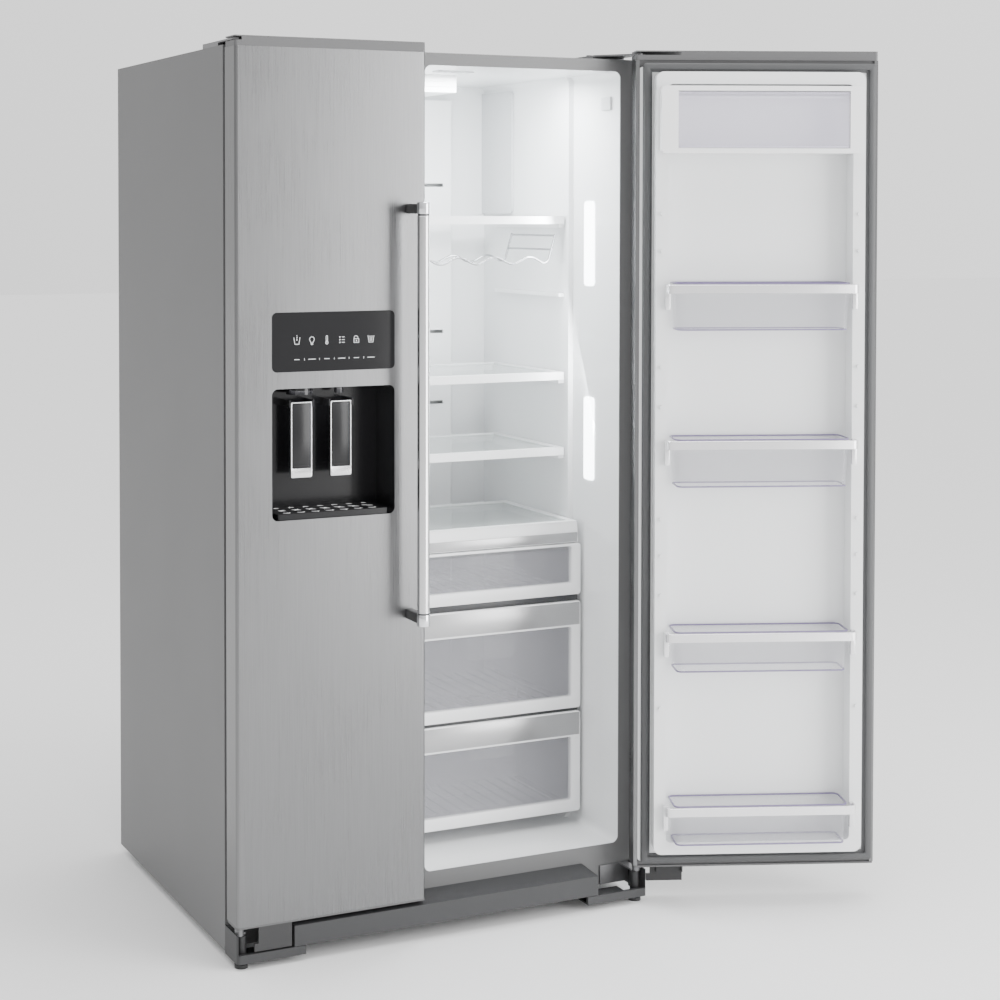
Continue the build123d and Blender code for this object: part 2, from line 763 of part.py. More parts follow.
lamp_y = (104, 144)
lamp_spans = ((1284, 1466), (864, 1043))
lamp_depth = 3
with BuildPart() as led_lenses:
    for span in lamp_spans:
        block((fridge_mouth[1] - lamp_depth, fridge_mouth[1] - fit), lamp_y, span)
    lens_edges = led_lenses.edges().filter_by(Axis.X)
    fillet(lens_edges, 8)
write(led_lenses, "led_lenses")

# Small fittings on the liner: the air panel in the rear corner of the right-hand wall, the door
# switch near the front and the air grille in the roof
corner_y = (450, liner_back - fit)
corner_z = (shelf_tops[0] + 8, opening_high - opening_radius - 1)
corner_depth = 7
switch_y = (34, 70)
switch_z = (1659, 1686)
switch_depth = 5
vent_x = (62, 146)
vent_y = (126, 152)
vent_depth = 3
vent_slots = 5
with BuildPart() as liner_fittings:
    block((fridge_room[1] - corner_depth, fridge_room[1] - fit), corner_y, corner_z)
    fillet(liner_fittings.edges().filter_by(Axis.X).sort_by(Axis.Y)[:2], 12)
    block((fridge_mouth[1] - switch_depth, fridge_mouth[1] - fit), switch_y, switch_z)
    block(vent_x, vent_y, (opening_high - vent_depth, opening_high - fit))
    for slot in range(vent_slots):
        slot_x = vent_x[0] + (vent_x[1] - vent_x[0]) * (slot + 0.5) / vent_slots
        slot_z = (opening_high - vent_depth, opening_high)
        block((slot_x - 5, slot_x + 5), inset(vent_y, 6), slot_z, Mode.SUBTRACT)
write(liner_fittings, "liner_fittings")

# Shelves: a moulded frame around each pane, resting on ribs on the walls
shelf_x = inset(fridge_room, 3)
shelf_back = liner_back - duct_depth - 45
frame_rim = 22
pane_seat = 6  # how far the pane lies on the frame
rib_height = 8
with BuildPart() as shelf_frames:
    for top in shelf_tops:
        column(shelf_x, (shelf_front, shelf_back), (top - shelf_band, top + 2), 6)
        block(
            inset(shelf_x, frame_rim),
            inset((shelf_front, shelf_back), frame_rim),
            (top - shelf_band, top + 2),
            Mode.SUBTRACT,
        )
        block(
            inset(shelf_x, frame_rim - pane_seat - fit),
            inset((shelf_front, shelf_back), frame_rim - pane_seat - fit),
            (top - glass_sheet - fit, top + 2),
            Mode.SUBTRACT,
        )
write(shelf_frames, "shelf_frames")

# Crisper cover: a framed pane with a deep fascia, over the three drawers
cover_front = drawer_front + 4
cover_x = inset(fridge_room, 3)
fascia_low = deli_span[1] + 3
cover_back = 480
with BuildPart() as crisper_cover:
    column(cover_x, (cover_front, cover_back), (cover_top - shelf_band, cover_top + 2), 4)
    window_y = (cover_front + frame_rim, cover_back - frame_rim)
    block(inset(cover_x, frame_rim), window_y, (fascia_low, cover_top + 2), Mode.SUBTRACT)
    block(
        inset(cover_x, frame_rim - pane_seat - fit),
        inset((cover_front, cover_back), frame_rim - pane_seat - fit),
        (cover_top - glass_sheet - fit, cover_top + 2),
        Mode.SUBTRACT,
    )
    with BuildSketch(Plane(origin=(cover_x[0], 0, 0), x_dir=(0, 1, 0), z_dir=(1, 0, 0))):
        with BuildLine():
            Polyline(
                (cover_front, cover_top - 2),
                (cover_front - 4, fascia_low),
                (cover_front + 3, fascia_low),
                (cover_front + 6, cover_top - shelf_band),
                (cover_front + 6, cover_top - 2),
                close=True,
            )
        make_face()
    extrude(amount=cover_x[1] - cover_x[0])
write(crisper_cover, "crisper_cover")

with BuildPart() as shelf_panes:
    pane_inset = frame_rim - pane_seat
    for top in shelf_tops:
        pane_y = inset((shelf_front, shelf_back), pane_inset)
        block(inset(shelf_x, pane_inset), pane_y, (top - glass_sheet, top))
    pane_y = inset((cover_front, cover_back), pane_inset)
    block(inset(cover_x, pane_inset), pane_y, (cover_top - glass_sheet, cover_top))
write(shelf_panes, "shelf_panes")

# Wire bottle rack under the top shelf: two scalloped wires that hang by their ends, with bars
# between them
rack_x = (fridge_room[0] + 20, fridge_room[1] - 24)
rack_y = (shelf_front + 8, shelf_front + 210)
rack_waves = 4
rack_wire = 2.2
rack_high = shelf_tops[0] - shelf_band - rib_height - 14
rack_drop = 68
rack_wave_height = 22
rack_lean = 20  # how far each hanger leans in from top to bottom
rack_bend = 30
rack_end_bend = 12
with BuildPart() as wine_rack:
    rack_low = rack_high - rack_drop
    scallop_x = inset(rack_x, rack_lean)
    half_wave = (scallop_x[1] - scallop_x[0]) / (2 * rack_waves)
    corners = [(rack_x[0], rack_high)]
    for step in range(2 * rack_waves + 1):
        rise = rack_wave_height if step % 2 else 0
        corners.append((scallop_x[0] + half_wave * step, rack_low + rise))
    corners.append((rack_x[1], rack_high))
    bends = [rack_end_bend] + [rack_bend] * (2 * rack_waves - 1) + [rack_end_bend]
    for wire_y in rack_y:
        with BuildLine() as wire_line:
            FilletPolyline(*[(x, wire_y, z) for x, z in corners], radius=bends)
        with BuildSketch(Plane(origin=wire_line.line @ 0, z_dir=wire_line.line % 0)) as section:
            Circle(rack_wire)
        sweep(section.sketch, path=wire_line.line)
    bar_length = rack_y[1] - rack_y[0] + 2 * rack_wire
    for share in (0.05, 0.5):
        lean = rack_lean * share
        for bar_x in inset(rack_x, lean):
            bar_end = (bar_x, rack_y[0] - rack_wire, rack_high - rack_drop * share)
            rod(bar_end, (0, 1, 0), rack_wire, bar_length)
write(wine_rack, "wine_rack")


# Drawers: a tub behind a deep front, on runners between them
tub_lift = 6  # the tub's floor above the front's lower edge
tub_drop = 14  # the tub's rim below the front's upper edge
drawer_front_x = inset(fridge_mouth, 8)
tub_x = inset(fridge_room, 12)
deep_back = liner_back - duct_depth - 50
drawer_backs = (deep_back, deep_back, hump_front - 8)
for span, back, node in zip(
    (deli_span, upper_span, lower_span),
    drawer_backs,
    ("deli_drawer", "upper_crisper", "lower_crisper"),
):
    tub_y = (drawer_front + drawer_front_sheet, back)
    tub_z = (span[0] + tub_lift, span[1] - tub_drop)
    with BuildPart() as drawer:
        column(tub_x, tub_y, tub_z, 12)
        column(
            inset(tub_x, drawer_wall),
            (tub_y[0], tub_y[1] - drawer_wall),
            (tub_z[0] + drawer_wall, tub_z[1]),
            10,
            Mode.SUBTRACT,
        )
        # the tub's square front corners run into the back of the front panel
        for corner in (tub_x[0], tub_x[1] - drawer_wall):
            block((corner, corner + drawer_wall), (tub_y[0], tub_y[0] + 13), tub_z)
        block(tub_x, (tub_y[0], tub_y[0] + 13), (tub_z[0], tub_z[0] + drawer_wall))
        prism(drawer_front_x, (drawer_front, tub_y[0]), span, 6)
    write(drawer, node)

# Ledges moulded on both walls: ribs under the shelves, one spare rib and the drawers' runners
ledge_height = 6
rib_depth = 14
runner_depth = 20
spare_rib_top = 1265
with BuildPart() as wall_ledges:
    for wall, reach in ((fridge_room[0], 1), (fridge_room[1], -1)):
        rib = sorted((wall + reach * fit, wall + reach * rib_depth))
        for top in [top - shelf_band - fit for top in shelf_tops] + [spare_rib_top]:
            block(rib, (shelf_front + 10, shelf_back - 10), (top - rib_height, top))
        runner = sorted((wall + reach * fit, wall + reach * runner_depth))
        for span, back in zip((deli_span, upper_span, lower_span), drawer_backs):
            runner_y = (drawer_front + drawer_front_sheet + 42, back - 10)
            runner_top = span[0] + tub_lift - fit
            block(runner, runner_y, (runner_top - ledge_height, runner_top))
write(wall_ledges, "wall_ledges")

# ---- Doors ---------------------------------------------------------------------------------------
# Every door piece is made with the door shut.  "hinge_side" is -1 for the freezer door, hung on
# the left, and 1 for the fresh food door, hung on the right.
dispenser_x = (freezer_door[0] + dispenser_left, freezer_door[0] + dispenser_left + dispenser_width)
dispenser_z = (recess_low - housing_wall - 1, panel_high + housing_wall + 1)
housing_x = inset(dispenser_x, -housing_wall)
panel_floor = door_back - ridge_recess
slot_low = arm_low - 1.5
slot_high = arm_high + 1.5
slot_reach = 84
cap_edge = 4  # height of the bottom cap below the skin
cap_plug = 12  # how far each cap plugs into the skin
skirt_sheet = 5


def door_skin(door):
    """Folded sheet: face, two rounded edges and a narrow lip behind each."""
    with BuildSketch(Plane.XY.offset(door_low + cap_edge)) as profile:
        with Locations((middle(door), middle((door_face, door_back)))):
            Rectangle(door[1] - door[0], door_thickness)
        fillet(profile.vertices().group_by(Axis.Y)[0], door_corner)
        offset(amount=-door_sheet, mode=Mode.SUBTRACT)
        with Locations((middle(door), door_back)):
            Rectangle(door[1] - door[0] - 2 * door_lip, 4 * door_sheet, mode=Mode.SUBTRACT)
    extrude(profile.sketch, amount=door_skin_top - door_low - cap_edge)


def door_slabs(door, hole=None):
    """Foam behind the skin, as four slabs round the dispenser where there is one."""
    x = inset(door, door_sheet + fit)
    y = (door_face + door_sheet + fit, panel_floor - liner_sheet - fit)
    z = inset((door_low, door_skin_top), cap_plug + 2)
    round_edge = door_corner - door_sheet - fit
    if hole is None:
        column(x, y, z, round_edge)
        return
    hole_x, hole_z = hole
    column((x[0], hole_x[0] - slab_gap), y, z, round_edge)
    column((hole_x[1] + slab_gap, x[1]), y, z, round_edge)
    block(hole_x, y, (z[0], hole_z[0] - slab_gap))
    block(hole_x, y, (hole_z[1] + slab_gap, z[1]))


def inner_panel(door):
    """Moulded panel: a rim behind the skin's lips, a sunk floor and a raised ridge round it."""
    rim_x = inset(door, door_lip + fit)
    rim_z = inset((door_low, door_skin_top), cap_plug + 2)
    ridge_x = inset(door, ridge_inset)
    ridge_z = inset((opening_low, opening_high), ridge_margin)
    ridge_y = (panel_floor - liner_sheet, door_back + ridge_height)
    prism(rim_x, (door_back - liner_sheet, door_back), rim_z, 6)
    prism(ridge_x, ridge_y, ridge_z, 16)
    hollow_y = (panel_floor, door_back + ridge_height)
    prism(inset(ridge_x, ridge_width), hollow_y, inset(ridge_z, ridge_width), 10, Mode.SUBTRACT)


def ridge_bosses(door, heights):
    """Small round bosses on both ridges, which the bins hook over."""
    for boss_x in inset(door, ridge_inset + ridge_width * 0.5):
        for height in heights:
            rod((boss_x, door_back + ridge_height, height), (0, 1, 0), boss_radius, boss_height)


def door_gasket(door, hinge_side):
    """Stepped ring: a wide foot on the inner panel and a narrower magnet bulb against the frame."""
    left, right = (gasket_hinge_inset, gasket_free_inset)[::-hinge_side]
    outer_x = (door[0] + left, door[1] - right)
    outer_z = (opening_low - gasket_lap, opening_high + gasket_lap - 6)
    step_y = door_back + gasket_depth * 0.45
    for y, shrink, width in (
        ((door_back + slab_gap, step_y), 0, gasket_width),
        ((step_y, -gasket_squeeze), (gasket_width - bulb_width) / 2, bulb_width),
    ):
        ring_x = inset(outer_x, shrink)
        ring_z = inset(outer_z, shrink)
        prism(ring_x, y, ring_z, 6)
        prism(inset(ring_x, width), y, inset(ring_z, width), 3, Mode.SUBTRACT)


def door_caps(door, hinge_side, slot_front):
    """End caps: the top one is slotted for the hinge plate, the bottom one carries the skirt."""
    axis_x = hinge_side * hinge_x
    hole_radius = pin_radius + pin_clearance
    door_y = (door_face, door_back)
    column(door, door_y, (door_skin_top + slab_gap, door_top), door_corner - 1)
    column(door, door_y, (door_low, door_low + cap_edge - slab_gap), door_corner - 1)
    plug_x = inset(door, door_sheet + fit + 2)
    plug_y = inset(door_y, 4)
    block(plug_x, plug_y, (door_low + cap_edge - 1, door_low + cap_plug))
    block(plug_x, plug_y, (door_skin_top - cap_plug, door_skin_top + 1))
    # the slot lets the door swing round the hinge plate; its points are measured from the pin
    slot_points = [
        (slot_front, door_face - hinge_y - 9),
        (-arm_round - 4, -3),
        (-slot_reach, door_back - hinge_y + 1),
        (hinge_inset + 9, door_back - hinge_y + 1),
        (hinge_inset + 9, door_face - hinge_y - 9),
    ]
    with BuildSketch(Plane.XY.offset(slot_low)) as slot:
        with BuildLine():
            Polyline(
                *[(axis_x + hinge_side * across, hinge_y + along) for across, along in slot_points],
                close=True,
            )
        make_face()
        with Locations((axis_x, hinge_y)):
            Circle(arm_round + 2)
    extrude(slot.sketch, amount=slot_high - slot_low, mode=Mode.SUBTRACT)
    upper_hole = (axis_x, hinge_y, door_skin_top - cap_plug)
    upper_deep = slot_low - door_skin_top + cap_plug + 1
    rod(upper_hole, (0, 0, 1), hole_radius, upper_deep, Mode.SUBTRACT)
    rod((axis_x, hinge_y, door_low), (0, 0, 1), hole_radius, cap_plug, Mode.SUBTRACT)
    # the skirt hangs below the hinge corner, cut away over the hinge knuckle and ribbed behind
    edge = hinge_side * half_width
    skirt_y = (door_face, door_face + skirt_sheet)
    skirt = sorted((edge - hinge_side * skirt_start, edge - hinge_side * skirt_end))
    block(skirt, skirt_y, (skirt_low, door_low))
    cut = sorted((edge - hinge_side * skirt_start, edge - hinge_side * (skirt_start + 8)))
    block(cut, skirt_y, (skirt_low + 15, door_low), Mode.SUBTRACT)
    for rib in (skirt_start + 20, skirt_end - 3):
        rib_x = sorted((edge - hinge_side * rib, edge - hinge_side * (rib + 3)))
        block(rib_x, (door_face, door_face + 14), (skirt_low + 20, door_low))


def pin_wells(hinge_side):
    """Clear space for the two hinge pins inside the door."""
    for low, high in ((door_low, door_low + 50), (door_skin_top - 50, door_skin_top)):
        well = (hinge_side * hinge_x, hinge_y, low)
        rod(well, (0, 0, 1), pin_radius + 1.5, high - low, Mode.SUBTRACT)


def handle(bar_x):
    """Round bar between two capped standoffs."""
    bar_y = door_face - handle_offset
    rod((bar_x, bar_y, handle_low), (0, 0, 1), handle_radius - 0.6, handle_high - handle_low)
    for low in (handle_low, handle_high - handle_cap):
        rod((bar_x, bar_y, low), (0, 0, 1), handle_radius, handle_cap)
        block((bar_x - 11, bar_x + 11), (bar_y, door_face), (low + 1, low + handle_cap - 1))


fridge_bosses = (1439, 1363, 1125, 1043, 812, 736, 655, 421)
freezer_handle_x = freezer_door[1] - handle_inset
fridge_handle_x = fridge_door[0] + handle_inset

with BuildPart() as fridge_door_skin:
    door_skin(fridge_door)
write_open(fridge_door_skin, "fridge_door_skin")

with BuildPart() as fridge_door_foam:
    door_slabs(fridge_door)
    pin_wells(1)
write_open(fridge_door_foam, "fridge_door_foam")

with BuildPart() as fridge_door_liner:
    inner_panel(fridge_door)
    ridge_bosses(fridge_door, fridge_bosses)
write_open(fridge_door_liner, "fridge_door_liner")

with BuildPart() as fridge_gasket:
    door_gasket(fridge_door, 1)
write_open(fridge_gasket, "fridge_gasket")

with BuildPart() as fridge_door_caps:
    door_caps(fridge_door, 1, -9)
write_open(fridge_door_caps, "fridge_door_caps")

with BuildPart() as fridge_handle:
    handle(fridge_handle_x)
write_open(fridge_handle, "fridge_handle")

# Dairy compartment: a hood on the inner panel, with a clear lid hinged along its top
fridge_door_middle = middle(fridge_door)
dairy_x = (fridge_door_middle - dairy_width / 2, fridge_door_middle + dairy_width / 2)
dairy_y = (door_back + ridge_height + fit, door_back + dairy_reach)
dairy_window = (31, 34, 10, 10)  # left, right, top and bottom borders
lid_sheet = 3
lid_pin = 2
lid_pin_clearance = 0.1
lid_x = (dairy_x[0] + dairy_window[0], dairy_x[1] - dairy_window[1])
lid_z = (dairy_low + dairy_window[3], dairy_high - dairy_window[2])
lid_axis_z = lid_z[1] - 4
lid_axis_y = dairy_y[1] - 4
inner_x = inset(inset(fridge_door, ridge_inset + ridge_width), 1)
with BuildPart() as dairy_box:
    prism(dairy_x, dairy_y, (dairy_low, dairy_high), 9)
    block(inner_x, (panel_floor + fit, dairy_y[0]), (dairy_low, dairy_low + 3))
    block(inner_x, (panel_floor + fit, dairy_y[0]), (dairy_high - 23, dairy_high - 20))
    for side_x in inner_x:
        wall = sorted((side_x, side_x + (3 if side_x == inner_x[0] else -3)))
        block(wall, (panel_floor + fit, dairy_y[0]), (dairy_low, dairy_high - 20))
    block(lid_x, (dairy_y[0], dairy_y[1]), lid_z, Mode.SUBTRACT)
    for lid_end in lid_x:
        pin = (lid_end - 4, lid_axis_y, lid_axis_z)
        rod(pin, (1, 0, 0), lid_pin + lid_pin_clearance, 8, Mode.SUBTRACT)
write_open(dairy_box, "dairy_box")

with BuildPart() as dairy_lid:
    pane_y = (lid_axis_y - lid_sheet / 2, lid_axis_y + lid_sheet / 2)
    block(inset(lid_x, 1), pane_y, (lid_z[0] + 1, lid_axis_z))
    rod((lid_x[0] - 3, lid_axis_y, lid_axis_z), (1, 0, 0), lid_pin, lid_x[1] - lid_x[0] + 6)
    rod((lid_x[0] + 1, lid_axis_y, lid_axis_z), (1, 0, 0), lid_pin + 1, lid_x[1] - lid_x[0] - 2)
write_open(dairy_lid, "dairy_lid")

# Door bins: a narrow tub under a wider rim, with ears that rest against the two ridges
bin_x = (fridge_door_middle - bin_width / 2, fridge_door_middle + bin_width / 2)
rim_x = (fridge_door_middle - bin_rim_width / 2, fridge_door_middle + bin_rim_width / 2)
ridge_top = door_back + ridge_height
bin_front = door_back + bin_reach
for number, (low, high) in enumerate(bin_spans, start=1):
    with BuildPart() as door_bin:
        tub_y = (panel_floor + 1, bin_front - 3)
        column(bin_x, tub_y, (low, high), 10)
        rim_y = (ridge_top + boss_height + 2, bin_front)
        column(rim_x, rim_y, (high - bin_rim_height, high), 8)
        column(inset(bin_x, bin_wall), inset(tub_y, bin_wall), (low + bin_wall, high), 8, Mode.SUBTRACT)
        column(
            inset(rim_x, bin_wall),
            (rim_y[0] + bin_wall, bin_front - bin_wall),
            (high - bin_rim_height + bin_wall, high),
            6,
            Mode.SUBTRACT,
        )
    write_open(door_bin, f"door_bin_{number}")

# Freezer door: the same construction round the dispenser
with BuildPart() as freezer_door_skin:
    door_skin(freezer_door)
    prism(dispenser_x, (door_face - 1, door_face + 3), (recess_low, recess_high), 12, Mode.SUBTRACT)
    prism(dispenser_x, (door_face - 1, door_face + 3), (panel_low, panel_high), 10, Mode.SUBTRACT)
write(freezer_door_skin, "freezer_door_skin")

foam_hole = (inset(housing_x, -1), dispenser_z)
with BuildPart() as freezer_door_foam:
    door_slabs(freezer_door, foam_hole)
    pin_wells(-1)
write(freezer_door_foam, "freezer_door_foam")

freezer_bosses = (1480, 620, 330)
with BuildPart() as freezer_door_liner:
    inner_panel(freezer_door)
    ridge_bosses(freezer_door, freezer_bosses)
    block(foam_hole[0], (panel_floor - 5, door_back + ridge_height + 1), foam_hole[1], Mode.SUBTRACT)
write(freezer_door_liner, "freezer_door_liner")

with BuildPart() as freezer_gasket:
    door_gasket(freezer_door, -1)
write(freezer_gasket, "freezer_gasket")

with BuildPart() as freezer_door_caps:
    door_caps(freezer_door, -1, 5)
write(freezer_door_caps, "freezer_door_caps")

with BuildPart() as freezer_handle:
    handle(freezer_handle_x)
write(freezer_handle, "freezer_handle")

# Bins on the inside of the freezer door
freezer_bin_spans = ((1440, 1540), (560, 660), (270, 370))
freezer_bin_x = inset(inset(freezer_door, ridge_inset + ridge_width), 4)
with BuildPart() as freezer_bins:
    for low, high in freezer_bin_spans:
        tub_y = (panel_floor + 1, bin_front - 3)
        column(freezer_bin_x, tub_y, (low, high), 10)
        hollow = (inset(freezer_bin_x, bin_wall), inset(tub_y, bin_wall))
        column(*hollow, (low + bin_wall, high), 8, Mode.SUBTRACT)
write(freezer_bins, "freezer_bins")

# Dispenser housing: the recess with its ceiling, and the chamber behind the control panel
housing_y = (door_face + door_sheet + slab_gap, door_face + recess_depth + housing_wall)
chamber_low = recess_high + 6
chute_x = freezer_door[0] + 152
nozzle_x = freezer_door[0] + 235
chute_y = door_face + 58
chute_drop = 16
paddle_width = 44
paddle_high = 1072
paddle_low = 928
paddle_sheet = 5
paddle_y = door_face + 52
paddle_pin = 2.5
paddle_clearance = 0.1
cheek_sheet = 3
cheek_half = 7
with BuildPart() as dispenser_housing:
    recess_y = (housing_y[0], door_face + recess_depth)
    block(housing_x, housing_y, inset(dispenser_z, 1))
    prism(dispenser_x, recess_y, (recess_low, recess_high), 12, Mode.SUBTRACT)
    block(dispenser_x, (panel_floor, recess_y[1]), (chamber_low, panel_high), Mode.SUBTRACT)
    prism(dispenser_x, (housing_y[0], door_face + 7), (panel_low, panel_high), 10, Mode.SUBTRACT)
    # chute for ice, down through the recess's ceiling, and the water nozzle
    chute = (chute_x, chute_y, recess_high - chute_drop)
    rod(chute, (0, 0, 1), 26, chamber_low - recess_high + chute_drop)
    rod(chute, (0, 0, 1), 22, chamber_low - recess_high + chute_drop, Mode.SUBTRACT)
    nozzle = (nozzle_x, chute_y, recess_high - chute_drop)
    rod(nozzle, (0, 0, 1), 9, chute_drop)
    rod(nozzle, (0, 0, 1), 4, chute_drop, Mode.SUBTRACT)
    # each paddle's pins turn in two cheeks that stand out of the recess's back wall
    for paddle_x in (chute_x, nozzle_x):
        for flank in (-1, 1):
            start = paddle_x + flank * (paddle_width / 2 + 1)
            cheek = sorted((start, start + flank * cheek_sheet))
            cheek_z = (paddle_high - cheek_half, paddle_high + cheek_half)
            block(cheek, (paddle_y - cheek_half, recess_y[1] + 1), cheek_z)
            pin_hole = (cheek[0], paddle_y, paddle_high)
            rod(pin_hole, (1, 0, 0), paddle_pin + paddle_clearance, cheek_sheet, Mode.SUBTRACT)
write(dispenser_housing, "dispenser_housing")

panel_proud = 0.6
with BuildPart() as control_panel:
    panel_y = (door_face - panel_proud, door_face + 4)
    prism(inset(dispenser_x, fit), panel_y, inset((panel_low, panel_high), fit), 9.5)
write(control_panel, "control_panel")

# Paddles hang on pins between the housing's cheeks
for paddle_x, node in ((chute_x, "ice_paddle"), (nozzle_x, "water_paddle")):
    with BuildPart() as paddle:
        span = (paddle_x - paddle_width / 2, paddle_x + paddle_width / 2)
        blade_y = (paddle_y - paddle_sheet / 2, paddle_y + paddle_sheet / 2)
        prism(span, blade_y, (paddle_low, paddle_high + 3), 5)
        block(inset(span, 2), (paddle_y - 8, paddle_y), (paddle_low + 1, paddle_low + 7))
        rod((span[0] - 4, paddle_y, paddle_high), (1, 0, 0), paddle_pin, paddle_width + 8)
    write(paddle, node)

tray_high = 12
tray_slot = 7
with BuildPart() as drip_tray:
    tray_x = inset(dispenser_x, 12.5)
    tray_y = (door_face + 3, door_face + recess_depth - 2)
    column(tray_x, tray_y, (recess_low + fit, recess_low + tray_high), 5)
    for slot_y in (door_face + 28, door_face + 62):
        slot = (slot_y - tray_slot / 2, slot_y + tray_slot / 2)
        block(inset(tray_x, 16), slot, (recess_low + 4, recess_low + tray_high), Mode.SUBTRACT)
write(drip_tray, "drip_tray")
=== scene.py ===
import bmesh
import bpy
import json
from math import cos, pi, radians, sin
from mathutils import Matrix, Vector


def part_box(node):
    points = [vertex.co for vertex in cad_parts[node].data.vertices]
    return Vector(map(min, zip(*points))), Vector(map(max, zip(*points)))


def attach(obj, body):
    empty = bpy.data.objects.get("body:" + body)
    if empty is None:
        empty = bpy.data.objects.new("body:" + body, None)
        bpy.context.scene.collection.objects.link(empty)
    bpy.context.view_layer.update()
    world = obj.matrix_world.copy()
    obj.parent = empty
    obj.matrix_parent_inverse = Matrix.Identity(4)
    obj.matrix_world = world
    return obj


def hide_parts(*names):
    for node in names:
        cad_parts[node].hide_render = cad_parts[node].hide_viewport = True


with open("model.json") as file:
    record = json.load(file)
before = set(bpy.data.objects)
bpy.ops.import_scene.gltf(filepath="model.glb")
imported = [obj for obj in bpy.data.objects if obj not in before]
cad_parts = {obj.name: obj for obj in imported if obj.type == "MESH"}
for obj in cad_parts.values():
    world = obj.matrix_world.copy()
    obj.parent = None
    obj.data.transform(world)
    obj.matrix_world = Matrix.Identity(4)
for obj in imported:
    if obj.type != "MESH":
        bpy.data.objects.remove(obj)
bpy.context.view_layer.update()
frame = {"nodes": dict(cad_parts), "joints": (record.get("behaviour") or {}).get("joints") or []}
nodes = frame["nodes"]

# ---- Camera -----------------------------------------------------------------------------------
# Stands in front and to the left of the refrigerator at about eye height.
camera_place = (-1.6942, -3.5068, 1.4426)
camera_tilt = 88.354
camera_turn = -24.687
camera_lens = 69.81
camera_shift = (0.1, -0.232)
camera_data = bpy.data.cameras.new("camera")
camera_data.lens = camera_lens
camera_data.sensor_width = 36
camera_data.shift_x, camera_data.shift_y = camera_shift
camera = bpy.data.objects.new("camera", camera_data)
camera.location = camera_place
camera.rotation_euler = (radians(camera_tilt), 0, radians(camera_turn))
bpy.context.scene.collection.objects.link(camera)
bpy.context.scene.camera = camera


# ---- Cabinet shell ----------------------------------------------------------------------------
# The sides and top are one wrap of sheet steel in a pebbled grey enamel, with a plain zinc back.
# The front frame round both openings is the same sheet in a smoother, slightly darker enamel.
VALUE = "NodeSocketFloat"
COLOUR = "NodeSocketColor"
VECTOR = "NodeSocketVector"
fine_detail = 4
broad_scale = 5
broad_detail = 5


def node_group(name, inputs, outputs):
    """An empty shader node group with named inputs and outputs."""
    tree = bpy.data.node_groups.new(name, "ShaderNodeTree")
    for label, kind in inputs:
        tree.interface.new_socket(name=label, in_out="INPUT", socket_type=kind)
    for label, kind in outputs:
        tree.interface.new_socket(name=label, in_out="OUTPUT", socket_type=kind)
    return tree, tree.nodes.new("NodeGroupInput"), tree.nodes.new("NodeGroupOutput")


def multiply_add(tree, value, factor, addend):
    """A node for value * factor + addend, where each is a socket or a number."""
    node = tree.nodes.new("ShaderNodeMath")
    node.operation = "MULTIPLY_ADD"
    for slot, source in enumerate((value, factor, addend)):
        if isinstance(source, (int, float)):
            node.inputs[slot].default_value = source
        else:
            tree.links.new(source, node.inputs[slot])
    return node.outputs[0]


def noise(tree, vector, scale, detail):
    """Noise centred on zero, from about -0.5 to 0.5."""
    node = tree.nodes.new("ShaderNodeTexNoise")
    node.inputs["Detail"].default_value = detail
    tree.links.new(vector, node.inputs["Vector"])
    if isinstance(scale, (int, float)):
        node.inputs["Scale"].default_value = scale
    else:
        tree.links.new(scale, node.inputs["Scale"])
    return multiply_add(tree, node.outputs[0], 1, -0.5)


def surface_grain_group():
    """Fine grain that can be drawn out along an axis, over broad handling marks."""
    tree, enter, leave = node_group(
        "surface_grain",
        (
            ("Colour", COLOUR),
            ("Streak", VALUE),
            ("Mottle", VALUE),
            ("Roughness", VALUE),
            ("Spread", VALUE),
            ("Size", VALUE),
            ("Stretch", VECTOR),
        ),
        (("Colour", COLOUR), ("Roughness", VALUE), ("Height", VALUE)),
    )
    place = tree.nodes.new("ShaderNodeTexCoord")
    stretch = tree.nodes.new("ShaderNodeVectorMath")
    stretch.operation = "MULTIPLY"
    tree.links.new(place.outputs["Object"], stretch.inputs[0])
    tree.links.new(enter.outputs["Stretch"], stretch.inputs[1])
    fine = noise(tree, stretch.outputs[0], enter.outputs["Size"], fine_detail)
    broad = noise(tree, place.outputs["Object"], broad_scale, broad_detail)
    shade = multiply_add(tree, fine, enter.outputs["Streak"], 1)
    shade = multiply_add(tree, broad, enter.outputs["Mottle"], shade)
    mix = tree.nodes.new("ShaderNodeMix")
    mix.data_type = "RGBA"
    mix.blend_type = "MULTIPLY"
    mix.inputs[0].default_value = 1
    tree.links.new(enter.outputs["Colour"], mix.inputs[6])
    tree.links.new(shade, mix.inputs[7])
    rough = multiply_add(tree, fine, enter.outputs["Spread"], enter.outputs["Roughness"])
    rough = multiply_add(tree, broad, enter.outputs["Spread"], rough)
    tree.links.new(mix.outputs[2], leave.inputs["Colour"])
    tree.links.new(rough, leave.inputs["Roughness"])
    tree.links.new(fine, leave.inputs["Height"])
    return tree


surface_grain = surface_grain_group()


